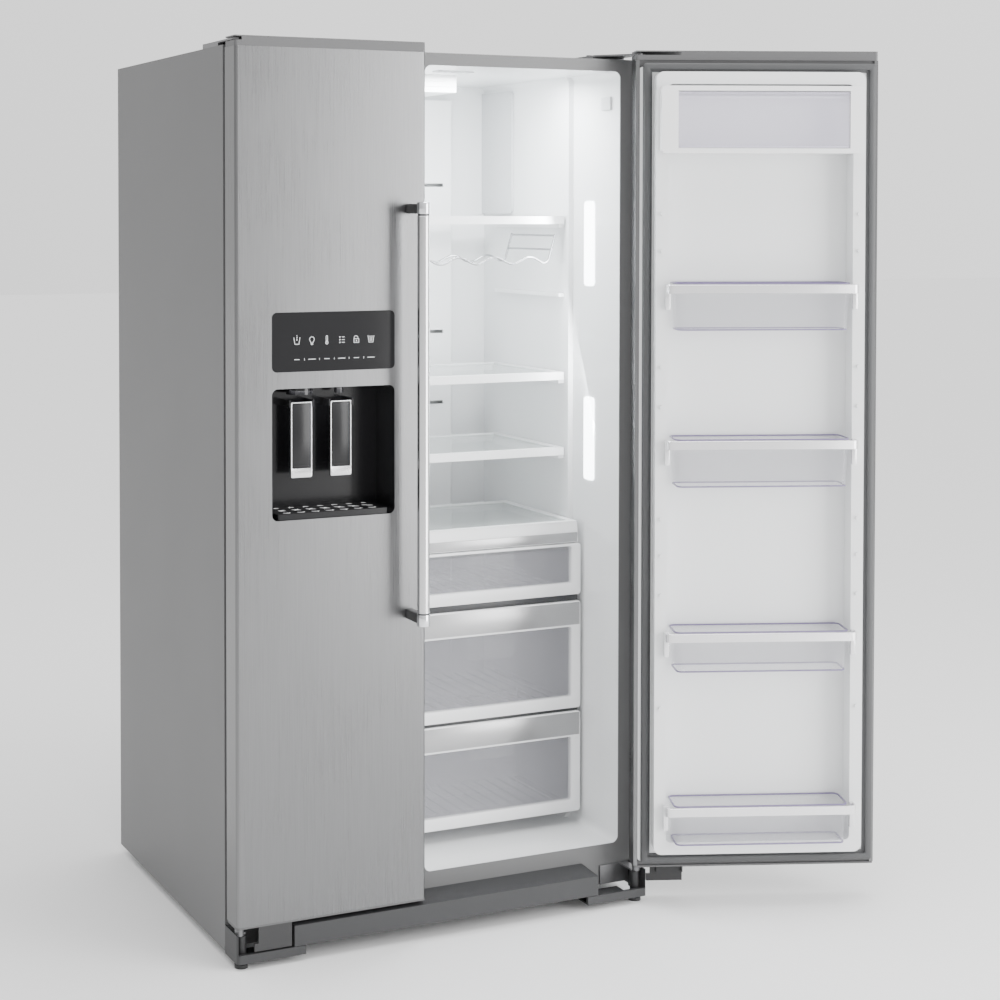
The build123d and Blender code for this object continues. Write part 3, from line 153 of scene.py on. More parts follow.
def finish(
    name,
    colour,
    roughness,
    metallic=0.0,
    streak=0.06,
    mottle=0.06,
    spread=0.08,
    size=900,
    stretch=(1, 1, 1),
    depth=0.00004,
    ior=1.46,
    alpha=1.0,
):
    """A material with the shared grain: colour, roughness and relief all vary over the surface."""
    material = bpy.data.materials.new(name)
    material.use_nodes = True
    tree = material.node_tree
    shader = tree.nodes["Principled BSDF"]
    grain = tree.nodes.new("ShaderNodeGroup")
    grain.node_tree = surface_grain
    grain.inputs["Colour"].default_value = (*colour, 1)
    grain.inputs["Streak"].default_value = streak
    grain.inputs["Mottle"].default_value = mottle
    grain.inputs["Roughness"].default_value = roughness
    grain.inputs["Spread"].default_value = spread
    grain.inputs["Size"].default_value = size
    grain.inputs["Stretch"].default_value = stretch
    relief = tree.nodes.new("ShaderNodeBump")
    relief.inputs["Distance"].default_value = depth
    tree.links.new(grain.outputs["Height"], relief.inputs["Height"])
    tree.links.new(grain.outputs["Colour"], shader.inputs["Base Color"])
    tree.links.new(grain.outputs["Roughness"], shader.inputs["Roughness"])
    tree.links.new(relief.outputs["Normal"], shader.inputs["Normal"])
    shader.inputs["Metallic"].default_value = metallic
    shader.inputs["IOR"].default_value = ior
    shader.inputs["Alpha"].default_value = alpha
    return material


def coat_nodes(material, *names):
    """Gives CAD nodes a material."""
    for name in names:
        slots = nodes[name].data.materials
        slots.clear()
        slots.append(material)


pebbled_enamel = finish(
    "pebbled_enamel", (0.120, 0.1205, 0.122), 0.46, streak=0.14, mottle=0.05, size=520, depth=0.00022
)
frame_enamel = finish(
    "frame_enamel", (0.135, 0.136, 0.137), 0.42, streak=0.04, size=1300, depth=0.00003
)
zinc_sheet = finish(
    "zinc_sheet", (0.46, 0.47, 0.48), 0.44, metallic=0.85, streak=0.16, mottle=0.30, size=60, depth=0.00002
)
foam_skin = finish("foam_skin", (0.72, 0.62, 0.40), 0.85, streak=0.2, size=300, depth=0.0004)
coat_nodes(pebbled_enamel, "cabinet_wrapper")
coat_nodes(frame_enamel, "front_frame")
coat_nodes(zinc_sheet, "rear_covers", "base_pan")
coat_nodes(foam_skin, "cabinet_foam", "fridge_door_foam", "freezer_door_foam")


def add_piece(name, shape, material, body, replaced=(), place=None, crease=35):
    """Turns a finished bmesh into a piece that rides on a body and stands for CAD nodes."""
    bmesh.ops.recalc_face_normals(shape, faces=shape.faces[:])
    mesh = bpy.data.meshes.new(name)
    shape.to_mesh(mesh)
    shape.free()
    if place is not None:
        mesh.transform(place)
    mesh.shade_smooth()
    mesh.set_sharp_from_angle(angle=radians(crease))
    mesh.materials.append(material)
    piece = bpy.data.objects.new(name, mesh)
    bpy.context.scene.collection.objects.link(piece)
    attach(piece, body)
    if replaced:
        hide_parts(*replaced)


def middle(span):
    """The value half way along a span."""
    return (span[0] + span[1]) / 2


def grow(span, amount):
    """A span moved out at both ends, or in where the amount is negative."""
    return (span[0] - amount, span[1] + amount)


def slab(shape, x, y, z, bevel=0.0, segments=2):
    """A box between two x, two y and two z values, with rounded edges, added to a bmesh."""
    spans = (x, y, z)
    size = Matrix.Diagonal([*[span[1] - span[0] for span in spans], 1])
    place = Matrix.Translation([middle(span) for span in spans])
    made = bmesh.ops.create_cube(shape, size=1, matrix=place @ size)["verts"]
    if bevel:
        edges = {edge for vert in made for edge in vert.link_edges}
        bmesh.ops.bevel(
            shape,
            geom=list(edges),
            offset=bevel,
            segments=segments,
            profile=0.5,
            affect="EDGES",
            material=-1,
        )


def stud(shape, centre, axis, radius, height, segments=20, bevel=0.0):
    """A round boss that starts at a point and runs along an axis, added to a bmesh."""
    turn = Vector((0, 0, 1)).rotation_difference(Vector(axis)).to_matrix().to_4x4()
    place = Matrix.Translation(Vector(centre) + Vector(axis).normalized() * height / 2) @ turn
    made = bmesh.ops.create_cone(
        shape, cap_ends=True, segments=segments, radius1=radius, radius2=radius, depth=height, matrix=place
    )["verts"]
    if bevel:
        rims = {
            edge
            for vert in made
            for edge in vert.link_edges
            if len(edge.link_faces[0].verts) > 4 or len(edge.link_faces[-1].verts) > 4
        }
        bmesh.ops.bevel(
            shape, geom=list(rims), offset=bevel, segments=2, profile=0.5, affect="EDGES", material=-1
        )


# ---- Cover screws -----------------------------------------------------------------------------
# Hexagon-headed sheet-metal screws with a washer face, round the edges of the two rear covers.
rear_low, rear_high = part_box("rear_covers")
screw_radius = 0.0045
washer_radius = screw_radius * 1.6
washer_thickness = 0.001
head_height = 0.0042
head_chamfer = 0.0006
screw_margin = 0.014
cover_joint = 0.303
side_screws = (0.66, 1.02, 1.38)
edge_screws = (-0.22, 0, 0.22)
zinc_screw = finish("zinc_screw", (0.62, 0.60, 0.55), 0.32, metallic=0.9, streak=0.2, size=1500)
screws = bmesh.new()


def cover_screw(x, z):
    """One screw through a cover: its washer face and its six-sided head."""
    place = (x, rear_high.y, z)
    stud(screws, place, (0, 1, 0), washer_radius, washer_thickness, 16)
    stud(screws, place, (0, 1, 0), screw_radius, head_height, 6, head_chamfer)


top_screw = rear_high.z - screw_margin
joint_screws = (cover_joint - screw_margin, cover_joint + screw_margin)
for screw_x in (rear_low.x + screw_margin, rear_high.x - screw_margin):
    for screw_z in (rear_low.z + screw_margin, *joint_screws, *side_screws, top_screw):
        cover_screw(screw_x, screw_z)
for screw_x in edge_screws:
    for screw_z in (joint_screws[1], top_screw):
        cover_screw(screw_x, screw_z)
add_piece("rear_cover_screws", screws, zinc_screw, "cabinet")

# ---- Liners -----------------------------------------------------------------------------------
# Each compartment is lined with one vacuum-formed white sheet, glossy with a faint orange peel.
# The ducts, the light housing and the wall fittings are the same white, moulded separately.
white_liner = finish(
    "white_liner", (0.82, 0.83, 0.835), 0.22, streak=0.02, mottle=0.02, spread=0.05, size=160, depth=0.00005
)
white_moulding = finish(
    "white_moulding", (0.86, 0.865, 0.87), 0.30, streak=0.02, mottle=0.02, size=700, depth=0.00003
)
pale_grey_moulding = finish(
    "pale_grey_moulding", (0.60, 0.61, 0.62), 0.35, streak=0.03, mottle=0.03, size=800, depth=0.00003
)
coat_nodes(white_liner, "freezer_liner", "fridge_liner", "fridge_door_liner", "freezer_door_liner")
coat_nodes(white_moulding, "rear_duct", "light_housing", "wall_ledges", "evaporator_cover", "ice_maker")
coat_nodes(pale_grey_moulding, "liner_fittings")

# ---- Wall lamps -------------------------------------------------------------------------------
# Two upright frosted lenses set in the right-hand wall, lit from behind by a row of diodes.
lamp_glow = 9
lamp_lens = finish("lamp_lens", (0.95, 0.97, 1.0), 0.35, streak=0.02, mottle=0.02, size=400)
lens_shader = lamp_lens.node_tree.nodes["Principled BSDF"]
lens_shader.inputs["Emission Color"].default_value = (0.93, 0.97, 1.0, 1)
lens_shader.inputs["Emission Strength"].default_value = lamp_glow
coat_nodes(lamp_lens, "led_lenses")

# ---- Shelves ----------------------------------------------------------------------------------
# Each shelf is a pane of tempered glass held in a white moulded frame with a deep front lip.
shelf_glass = finish(
    "shelf_glass", (0.84, 0.90, 0.89), 0.04, streak=0.01, mottle=0.01, spread=0.02, size=200,
    depth=0.000002, alpha=0.25
)
coat_nodes(white_moulding, "shelf_frames", "crisper_cover")
coat_nodes(shelf_glass, "shelf_panes")

# ---- Bottle rack ------------------------------------------------------------------------------
# Two scalloped wires joined by crossbars, chromium plate over steel, hung under a shelf.
rack_chrome = finish(
    "rack_chrome", (0.34, 0.34, 0.35), 0.12, metallic=1.0, streak=0.05, mottle=0.05, size=900, depth=0.000008
)
coat_nodes(rack_chrome, "wine_rack")

# ---- Drawers ----------------------------------------------------------------------------------
# A clear moulded tub behind a white front frame with a clear window.  The two crispers carry a
# satin metal-look band along the top of the front; the shallow drawer has none.
clear_styrene = finish(
    "clear_styrene", (0.62, 0.62, 0.665), 0.06, streak=0.01, mottle=0.04, spread=0.04, size=120,
    depth=0.00001, alpha=0.14
)
satin_band = finish(
    "satin_band", (0.42, 0.42, 0.425), 0.30, metallic=0.85, streak=0.10, mottle=0.04, size=1500,
    stretch=(0.02, 1, 1), depth=0.000012
)
side_rail = 0.022
bottom_rail = 0.026
plain_top_rail = 0.006
front_thickness = 0.014
drawer_corner = 0.007
pane_faces = (0.004, 0.0065)
pane_lap = 0.001
band_height = 0.052
band_gap = 0.004
band_faces = (-0.0006, 0.003)
band_inset = 0.0025
tub_clearance = 0.0085
tub_setback = 0.012
tub_lift = 0.006
tub_drop = 0.014
tub_wall = 0.0025
tub_corner = 0.012
rib_count = 13
rib_half_width = 0.0015
rib_top = 0.0045
rib_end_gap = 0.02


def loft(shape, rings, close_first=False, close_last=False, join=False, steps=6):
    """Lofts through rounded rectangles.  Each has x, y and z and a corner radius; x, y and z are
    two spans and one level.  With join, the last is joined to the first."""
    turn = Matrix.Rotation(pi / (4 * steps), 4, "Z")
    front = bmesh.ops.create_circle(shape, segments=4 * steps, radius=1, matrix=turn)["verts"]
    aims = {vert: vert.co.copy() for vert in front}
    edges = list({edge for vert in front for edge in vert.link_edges})
    first_edges = edges
    for number, (x, y, z, radius) in enumerate(rings + rings[:1] if join else rings):
        if number:
            grown = bmesh.ops.extrude_edge_only(shape, edges=edges)["geom"]
            front = {item for item in grown if isinstance(item, bmesh.types.BMVert)}
            edges = [item for item in grown if isinstance(item, bmesh.types.BMEdge)]
            edges = [edge for edge in edges if front.issuperset(edge.verts)]
            before = aims
            aims = {}
            for vert in front:
                neighbours = [edge.other_vert(vert) for edge in vert.link_edges]
                aims[vert] = next(before[other] for other in neighbours if other in before)
        for vert, aim in aims.items():
            sides = iter(aim.xy)
            place = []
            for span in (x, y, z):
                if isinstance(span, tuple):
                    side = next(sides)
                    place.append((span[1] - radius if side > 0 else span[0] + radius) + side * radius)
                else:
                    place.append(span)
            vert.co = place
    if close_first:
        bmesh.ops.contextual_create(shape, geom=first_edges)
    if close_last:
        bmesh.ops.contextual_create(shape, geom=edges)
    if join:
        bmesh.ops.remove_doubles(shape, verts=shape.verts[:], dist=1e-6)


def upright_frame(shape, x, z, y, window_x, window_z, radius, round_over=0.0015):
    """A picture frame with rounded corners and softened front edges, facing -Y."""
    ease = round_over * 0.3
    outer = ((0, y[1]), (0, y[0] + round_over), (ease, y[0] + ease), (round_over, y[0]))
    rings = [(grow(x, -inward), at, grow(z, -inward), radius) for inward, at in outer]
    for inward, at in reversed(outer):
        rings.append((grow(window_x, inward), at, grow(window_z, inward), radius * 0.8))
    loft(shape, rings, join=True)


def tub(shape, x, y, z, wall, radius, taper=0.0):
    """An open tub with rounded upright corners and a rounded rim."""
    rim = wall / 2
    foot = 0.003
    outside = ((z[0], taper + foot), (z[0] + foot, taper), (z[1] - rim, 0))
    rings = [(grow(x, -pull), grow(y, -pull), level, radius) for level, pull in outside]
    rings.append((grow(x, -rim), grow(y, -rim), z[1], radius - rim))
    inside = ((z[1] - rim, 0), (z[0] + wall + foot, taper), (z[0] + wall, taper + foot))
    for level, pull in inside:
        rings.append((grow(x, -wall - pull), grow(y, -wall - pull), level, radius - wall))
    loft(shape, rings, close_first=True, close_last=True)


def drawer_tub(name):
    """The clear tub of one drawer, with ribs along its floor."""
    low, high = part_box(name)
    tub_x = (low.x + tub_clearance, high.x - tub_clearance)
    tub_y = (low.y + tub_setback, high.y)
    tub_z = (low.z + tub_lift, high.z - tub_drop)
    shape = bmesh.new()
    tub(shape, tub_x, tub_y, tub_z, tub_wall, tub_corner)
    for rib in range(rib_count):
        rib_x = tub_x[0] + (tub_x[1] - tub_x[0]) * (rib + 1) / (rib_count + 1)
        slab(
            shape,
            (rib_x - rib_half_width, rib_x + rib_half_width),
            grow(tub_y, -rib_end_gap),
            (tub_z[0] + tub_wall, tub_z[0] + rib_top),
        )
    add_piece(name + "_tub", shape, clear_styrene, name, (name,))


def drawer_front(name, band):
    """The white frame, clear window and, on a crisper, the satin band of one drawer's front."""
    low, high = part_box(name)
    x = (low.x, high.x)
    z = (low.z, high.z)
    y = (low.y, low.y + front_thickness)
    window_x = grow(x, -side_rail)
    top_rail = band + band_gap if band else plain_top_rail
    window_z = (z[0] + bottom_rail, z[1] - top_rail)
    shape = bmesh.new()
    upright_frame(shape, x, z, y, window_x, window_z, drawer_corner)
    add_piece(name + "_frame", shape, white_moulding, name)
    shape = bmesh.new()
    pane_y = (y[0] + pane_faces[0], y[0] + pane_faces[1])
    slab(shape, grow(window_x, pane_lap), pane_y, grow(window_z, pane_lap), 0.0008)
    add_piece(name + "_window", shape, clear_styrene, name)
    if band:
        shape = bmesh.new()
        face_y = (y[0] + band_faces[0], y[0] + band_faces[1])
        slab(shape, grow(x, -band_inset), face_y, (z[1] - band, z[1] - band_inset), 0.0012)
        add_piece(name + "_band", shape, satin_band, name)


drawer_bands = (("deli_drawer", 0), ("upper_crisper", band_height), ("lower_crisper", band_height))
for drawer, band in drawer_bands:
    drawer_tub(drawer)
    drawer_front(drawer, band)

# ---- Drawer dividers --------------------------------------------------------------------------
# A dark bar spans the opening above each crisper, full width, just behind the drawer fronts.
dark_moulding = finish("dark_moulding", (0.035, 0.036, 0.038), 0.38, streak=0.08, size=900, depth=0.00005)
divider_gap = 0.001
least_divider = 0.004
divider_y = (0.004, 0.018)
side_reach = 0.002
shelf_low, shelf_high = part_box("shelf_frames")
divider_x = (shelf_low.x - side_reach, shelf_high.x + side_reach)
dividers = bmesh.new()
for above, below in (("deli_drawer", "upper_crisper"), ("upper_crisper", "lower_crisper")):
    above_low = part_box(above)[0]
    below_low, below_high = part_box(below)
    bar_low = below_high.z + divider_gap
    bar_high = max(above_low.z - divider_gap, bar_low + least_divider)
    bar_y = (below_low.y + divider_y[0], below_low.y + divider_y[1])
    slab(dividers, divider_x, bar_y, (bar_low, bar_high), 0.001)
add_piece("drawer_dividers", dividers, dark_moulding, "cabinet")

# ---- Crisper cover trim -----------------------------------------------------------------------
# The lower half of the cover's front is a satin metal-look band let into the white moulding.
cover_low, cover_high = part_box("crisper_cover")
trim_end_gap = 0.002
trim_y = (-0.0012, 0.002)
trim_z = (0.001, 0.021)
cover_trim = bmesh.new()
slab(
    cover_trim,
    (cover_low.x + trim_end_gap, cover_high.x - trim_end_gap),
    (cover_low.y + trim_y[0], cover_low.y + trim_y[1]),
    (cover_low.z + trim_z[0], cover_low.z + trim_z[1]),
    0.001,
)
add_piece("crisper_cover_trim", cover_trim, satin_band, "cabinet")

# ---- Fresh food door --------------------------------------------------------------------------
# Brushed stainless skin folded round foam, with grey end caps.  Every piece of this door is laid
# out with the door shut, then swung open about the hinge by the same angle as the frame's.
fridge_hinge = next(joint for joint in frame["joints"] if joint["child"] == "fridge_door")
hinge_point = Vector(fridge_hinge["pos_m"])
open_angle = radians(-fridge_hinge["range_deg"][0])
swing = (
    Matrix.Translation(hinge_point)
    @ Matrix.Rotation(open_angle, 4, "Z")
    @ Matrix.Translation(-hinge_point)
)
shut = swing.inverted()


def shut_box(name):
    """The lowest and highest corners of a CAD node of the fresh food door, with the door shut."""
    corners = [shut @ vert.co for vert in nodes[name].data.vertices]
    lows = Vector([min(corner[axis] for corner in corners) for axis in range(3)])
    highs = Vector([max(corner[axis] for corner in corners) for axis in range(3)])
    return lows, highs


stainless = finish(
    "stainless", (0.185, 0.186, 0.188), 0.29, metallic=1.0, streak=0.34, mottle=0.03, spread=0.12, size=1300,
    stretch=(1, 1, 0.008), depth=0.000022
)
cap_plastic = finish("cap_plastic", (0.10, 0.10, 0.102), 0.42, streak=0.06, size=1100, depth=0.00005)
skirt_top = 0.0795
# Near black below skirt_top: painted shade on the skirt under the door, same grey plastic as the cap.
skirt_painted_shade = (0.030, 0.030, 0.031, 1)


def darken_below(material, height, colour):
    """Gives a material another colour below a height: painted shade on the skirt under a door cap.

    Inputs 6 and 7 and output 2 of a Mix node are its two colours and its result."""
    tree = material.node_tree
    grain = next(node for node in tree.nodes if node.bl_idname == "ShaderNodeGroup")
    place = tree.nodes.new("ShaderNodeTexCoord")
    parts = tree.nodes.new("ShaderNodeSeparateXYZ")
    tree.links.new(place.outputs["Object"], parts.inputs[0])
    below = tree.nodes.new("ShaderNodeMath")
    below.operation = "LESS_THAN"
    below.inputs[1].default_value = height
    tree.links.new(parts.outputs["Z"], below.inputs[0])
    mix = tree.nodes.new("ShaderNodeMix")
    mix.data_type = "RGBA"
    mix.inputs[6].default_value = grain.inputs["Colour"].default_value[:]
    mix.inputs[7].default_value = colour
    tree.links.new(below.outputs[0], mix.inputs[0])
    tree.links.new(mix.outputs[2], grain.inputs["Colour"])


# Paints shade onto the cap plastic's skirt below skirt_top.
darken_below(cap_plastic, skirt_top, skirt_painted_shade)
coat_nodes(stainless, "fridge_door_skin", "freezer_door_skin")
coat_nodes(cap_plastic, "fridge_door_caps", "freezer_door_caps")

# ---- Door gaskets -----------------------------------------------------------------------------
# Extruded grey vinyl: a foot pushed into the inner panel, a bellows and a magnet bulb that
# meets the cabinet's frame.  The four lengths are welded at mitred corners.
grey_vinyl = finish("grey_vinyl", (0.068, 0.069, 0.071), 0.50, streak=0.05, size=1400, depth=0.00004)
gasket_corner = 0.006
least_corner = 0.001
corner_loss = 0.3
gasket_profile = (
    (0.0, 0.0002), (0.0, 0.0034), (0.0022, 0.0042), (0.0022, 0.0052), (0.0008, 0.0058), (0.0008, 0.0100),
    (0.0024, 0.0114), (0.0120, 0.0114), (0.0136, 0.0100), (0.0136, 0.0058), (0.0120, 0.0052),
    (0.0120, 0.0042), (0.0178, 0.0036), (0.0190, 0.0026), (0.0190, 0.0002),
)


def gasket(name, box, body, place):
    """Rings of the profile, each set in from the foot's edge and raised, skinned into a frame."""
    low, high = box
    shape = bmesh.new()
    rings = []
    for inward, rise in gasket_profile:
        x = (low.x + inward, high.x - inward)
        z = (low.z + inward, high.z - inward)
        corner = max(gasket_corner - inward * corner_loss, least_corner)
        rings.append((x, low.y + rise, z, corner))
    loft(shape, rings, join=True)
    add_piece(name + "_seal", shape, grey_vinyl, body, (name,), place, crease=50)


gasket("fridge_gasket", shut_box("fridge_gasket"), "fridge_door", swing)
gasket("freezer_gasket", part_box("freezer_gasket"), "freezer_door", None)

# ---- Door handles -----------------------------------------------------------------------------
# A satin round bar between two polished end blocks, each on a short neck from the door.
satin_bar = finish(
    "satin_bar", (0.68, 0.68, 0.685), 0.18, metallic=1.0, streak=0.12, mottle=0.03, size=1800,
    stretch=(1, 1, 0.02), depth=0.00001
)
bright_chrome = finish(
    "bright_chrome", (0.80, 0.81, 0.83), 0.10, metallic=1.0, streak=0.03, mottle=0.04, spread=0.05, size=900,
    depth=0.000008
)
neck_metal = finish(
    "neck_metal", (0.09, 0.09, 0.092), 0.35, metallic=0.7, streak=0.08, size=1200, depth=0.00002
)
end_height = 0.026
collar_height = 0.003
collar_lap = 0.001
grip_clearance = 0.0002
bar_step = 0.0008
ring_height = 0.002
neck_step = 0.0016
neck_half_width = 0.009
neck_setback = 0.004
neck_ends = (0.003, 0.004)
round_steps = 48


def handle(name, box, body, place):
    """The bar, its two end caps, the dark gap rings beside them, and the necks."""
    low, high = box
    bar_x = middle((low.x, high.x))
    radius = (high.x - low.x) / 2 - grip_clearance
    bar_y = low.y + radius
    bar_z = (low.z + end_height, high.z - end_height)
    rod = bmesh.new()
    stud(rod, (bar_x, bar_y, bar_z[0]), (0, 0, 1), radius - bar_step, bar_z[1] - bar_z[0], round_steps)
    add_piece(name + "_bar", rod, satin_bar, body, (name,), place)
    caps = bmesh.new()
    necks = bmesh.new()
    for level, inner, way in ((low.z, bar_z[0], 1), (high.z, bar_z[1], -1)):
        cap_foot = (bar_x, bar_y, level)
        cap_top = (bar_x, bar_y, inner)
        stud(caps, cap_foot, (0, 0, way), radius, end_height - collar_height, round_steps, 0.0015)
        stud(caps, cap_top, (0, 0, way), radius, ring_height, round_steps, 0.0006)
        stud(necks, cap_top, (0, 0, -way), radius - neck_step, collar_height + collar_lap, round_steps)
        neck_x = (bar_x - neck_half_width, bar_x + neck_half_width)
        neck_z = tuple(sorted((level + way * neck_ends[0], inner - way * neck_ends[1])))
        slab(necks, neck_x, (bar_y + neck_setback, high.y), neck_z, 0.003, 3)
    add_piece(name + "_caps", caps, bright_chrome, body, (), place)
    add_piece(name + "_necks", necks, neck_metal, body, (), place)


handle("fridge_handle", shut_box("fridge_handle"), "fridge_door", swing)
handle("freezer_handle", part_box("freezer_handle"), "freezer_door", None)

# ---- Door bins --------------------------------------------------------------------------------
# Each bin is a clear tub with a faint violet cast, wrapped by a satin white band whose two ends
# hook over bosses on the door's inner panel.
violet_edge = finish(
    "violet_edge", (0.20, 0.165, 0.30), 0.10, streak=0.02, mottle=0.10, size=200, depth=0.00001, alpha=0.85
)
white_band = finish(
    "white_band", (0.86, 0.855, 0.87), 0.24, metallic=0.75, streak=0.06, size=1500, stretch=(0.02, 1, 1)
)
bin_wall = 0.0025
bin_corner = 0.014
bin_taper = 0.004
bin_end_gap = 0.019
rim_drop = 0.0005
edge_thickness = 0.0028
edge_inset = 0.0045
edge_proud = 0.0006
top_edge_drop = 0.003
band_wall = 0.003
band_setback = 0.058
band_lap = 0.03
band_drop = (0.022, 0.004)
band_chamfer = 0.0006
hook_width = 0.010
hook_height = 0.052
hook_faces = (-0.006, 0.004)


def edge_ring(shape, x, y, level, radius):
    """A thin rounded ring that follows one edge of a tub."""
    rings = []
    thick = edge_thickness
    for pull, rise in ((0, 0), (0, thick), (thick, thick), (thick, 0)):
        rings.append((grow(x, -pull), grow(y, -pull), level + rise, radius - pull))
    loft(shape, rings, join=True)


def door_bin(name):
    """The tub with its tinted edges, and the band with its hooks."""
    low, high = shut_box(name)
    rim_x = (low.x, high.x)
    tub_x = grow(rim_x, -bin_end_gap)
    tub_y = (low.y, high.y - band_wall)
    band_y = (low.y + band_setback, high.y)
    band_z = (high.z - band_drop[0], high.z - band_drop[1])
    shape = bmesh.new()
    tub(shape, tub_x, tub_y, (low.z, high.z - rim_drop), bin_wall, bin_corner, taper=bin_taper)
    add_piece(name + "_tub", shape, clear_styrene, name, (name,), swing)
    shape = bmesh.new()
    edge_ring(shape, grow(tub_x, -edge_inset), grow(tub_y, -edge_inset), low.z + rim_drop, 0.013)
    top_edge_y = (tub_y[0], tub_y[1] + edge_proud)
    edge_ring(shape, grow(tub_x, edge_proud), top_edge_y, high.z - top_edge_drop, 0.0145)
    add_piece(name + "_edges", shape, violet_edge, name, (), swing)
    shape = bmesh.new()
    wrap_y = (band_y[0] - band_lap, band_y[1])
    rings = []
    for pull, level in (
        (band_chamfer, band_z[0]),
        (0, band_z[0] + band_chamfer),
        (0, band_z[1] - band_chamfer),
        (band_chamfer, band_z[1]),
        (band_wall, band_z[1]),
        (band_wall, band_z[0]),
    ):
        rings.append((grow(rim_x, -pull), grow(wrap_y, -pull), level, bin_corner - pull))
    loft(shape, rings, join=True)
    cut = bmesh.ops.bisect_plane(
        shape,
        geom=shape.verts[:] + shape.edges[:] + shape.faces[:],
        plane_co=(0, band_y[0], 0),
        plane_no=(0, -1, 0),
        clear_outer=True,
    )
    rims = [item for item in cut["geom_cut"] if isinstance(item, bmesh.types.BMEdge)]
    bmesh.ops.holes_fill(shape, edges=rims)
    hook_y = (band_y[0] + hook_faces[0], band_y[0] + hook_faces[1])
    hook_z = (band_z[1] - hook_height, band_z[1])
    for end, inward in ((rim_x[0], hook_width), (rim_x[1], -hook_width)):
        slab(shape, sorted((end, end + inward)), hook_y, hook_z, 0.0016)
    add_piece(name + "_band", shape, white_band, name, (), swing)


for number in range(1, 5):
    door_bin(f"door_bin_{number}")

# ---- Dairy compartment ------------------------------------------------------------------------
# A white hood fixed at the top of the door, with a clear lid that hinges up in its front.
lid_low, lid_high = shut_box("dairy_lid")
dairy_styrene = finish(
    "dairy_styrene", (0.80, 0.77, 0.90), 0.06, streak=0.01, mottle=0.02, size=120, depth=0.00001, alpha=0.30
)
coat_nodes(white_moulding, "dairy_box")
lid_end_gap = 0.0035
lid_faces = (-0.0042, -0.0018)
lid_pin_radius = 0.002
lid_pin_drop = 0.003
lip_end_gap = 0.004
lip_faces = (-0.002, 0.001)
lip_height = 0.004
lid = bmesh.new()
lid_x = (lid_low.x + lid_end_gap, lid_high.x - lid_end_gap)
lid_y = (lid_high.y + lid_faces[0], lid_high.y + lid_faces[1])
lip_y = (lid_high.y + lip_faces[0], lid_high.y + lip_faces[1])
pin_foot = (lid_low.x, middle((lid_low.y, lid_high.y)), lid_high.z - lid_pin_drop)
slab(lid, lid_x, lid_y, (lid_low.z, lid_high.z - 0.001), 0.001)
stud(lid, pin_foot, (1, 0, 0), lid_pin_radius, lid_high.x - lid_low.x)
slab(lid, grow(lid_x, -lip_end_gap), lip_y, (lid_low.z, lid_low.z + lip_height), 0.001)
add_piece("dairy_lid_pane", lid, dairy_styrene, "dairy_lid", ("dairy_lid",), swing)

# ---- Freezer fittings -------------------------------------------------------------------------
# Coated wire shelves and baskets, an ice maker, and clear bins on the door.
coated_wire = finish("coated_wire", (0.80, 0.80, 0.80), 0.35, streak=0.03, size=700)
coat_nodes(coated_wire, "freezer_racks")
coat_nodes(clear_styrene, "freezer_bins")

# ---- Dispenser housing ------------------------------------------------------------------------
# A black moulding let into the freezer door: a recess with a bowed back wall, two paddles and a
# drip tray below, and a gloss black touch panel above it.
black_moulding = finish(
    "black_moulding", (0.008, 0.008, 0.009), 0.16, streak=0.05, size=1000, depth=0.00001, ior=1.4
)
black_glass = finish(
    "black_glass", (0.012, 0.012, 0.013), 0.10, streak=0.02, size=600, depth=0.000003, ior=1.3
)
coat_nodes(black_moulding, "dispenser_housing", "drip_tray")
coat_nodes(black_glass, "control_panel")

# ---- Paddles ----------------------------------------------------------------------------------
# Each paddle is a smoked plate in a thin polished frame, with a broad polished lip at its foot.
smoked_glass = finish(
    "smoked_glass", (0.016, 0.016, 0.017), 0.22, streak=0.03, mottle=0.9, size=800, ior=1.33
)
paddle_faces = (0.003, -0.0005)
paddle_pin_reach = 0.004
paddle_pin_radius = 0.0025
paddle_pin_drop = 0.003
paddle_pin_depth = 0.005
rail = 0.0024
lip = 0.018
plate_lap = 0.0004
plate_faces = (0.0012, -0.0005)
for paddle in ("ice_paddle", "water_paddle"):
    low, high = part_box(paddle)
    x = (low.x + paddle_pin_reach, high.x - paddle_pin_reach)
    y = (low.y + paddle_faces[0], high.y + paddle_faces[1])
    z = (low.z, high.z)
    pin_foot = (low.x, middle((high.y, high.y - paddle_pin_depth)), high.z - paddle_pin_drop)
    shape = bmesh.new()
    upright_frame(shape, x, z, y, grow(x, -rail), (z[0] + lip, z[1] - rail), 0.0025, 0.0008)
    stud(shape, pin_foot, (1, 0, 0), paddle_pin_radius, high.x - low.x)
    add_piece(paddle + "_frame", shape, satin_bar, paddle, (paddle,))
    shape = bmesh.new()
    plate_y = (y[0] + plate_faces[0], y[1] + plate_faces[1])
    plate_z = (z[0] + lip - plate_lap, z[1] - rail)
    slab(shape, grow(x, -rail + plate_lap), plate_y, plate_z, 0.0004)
    add_piece(paddle + "_plate", shape, smoked_glass, paddle)

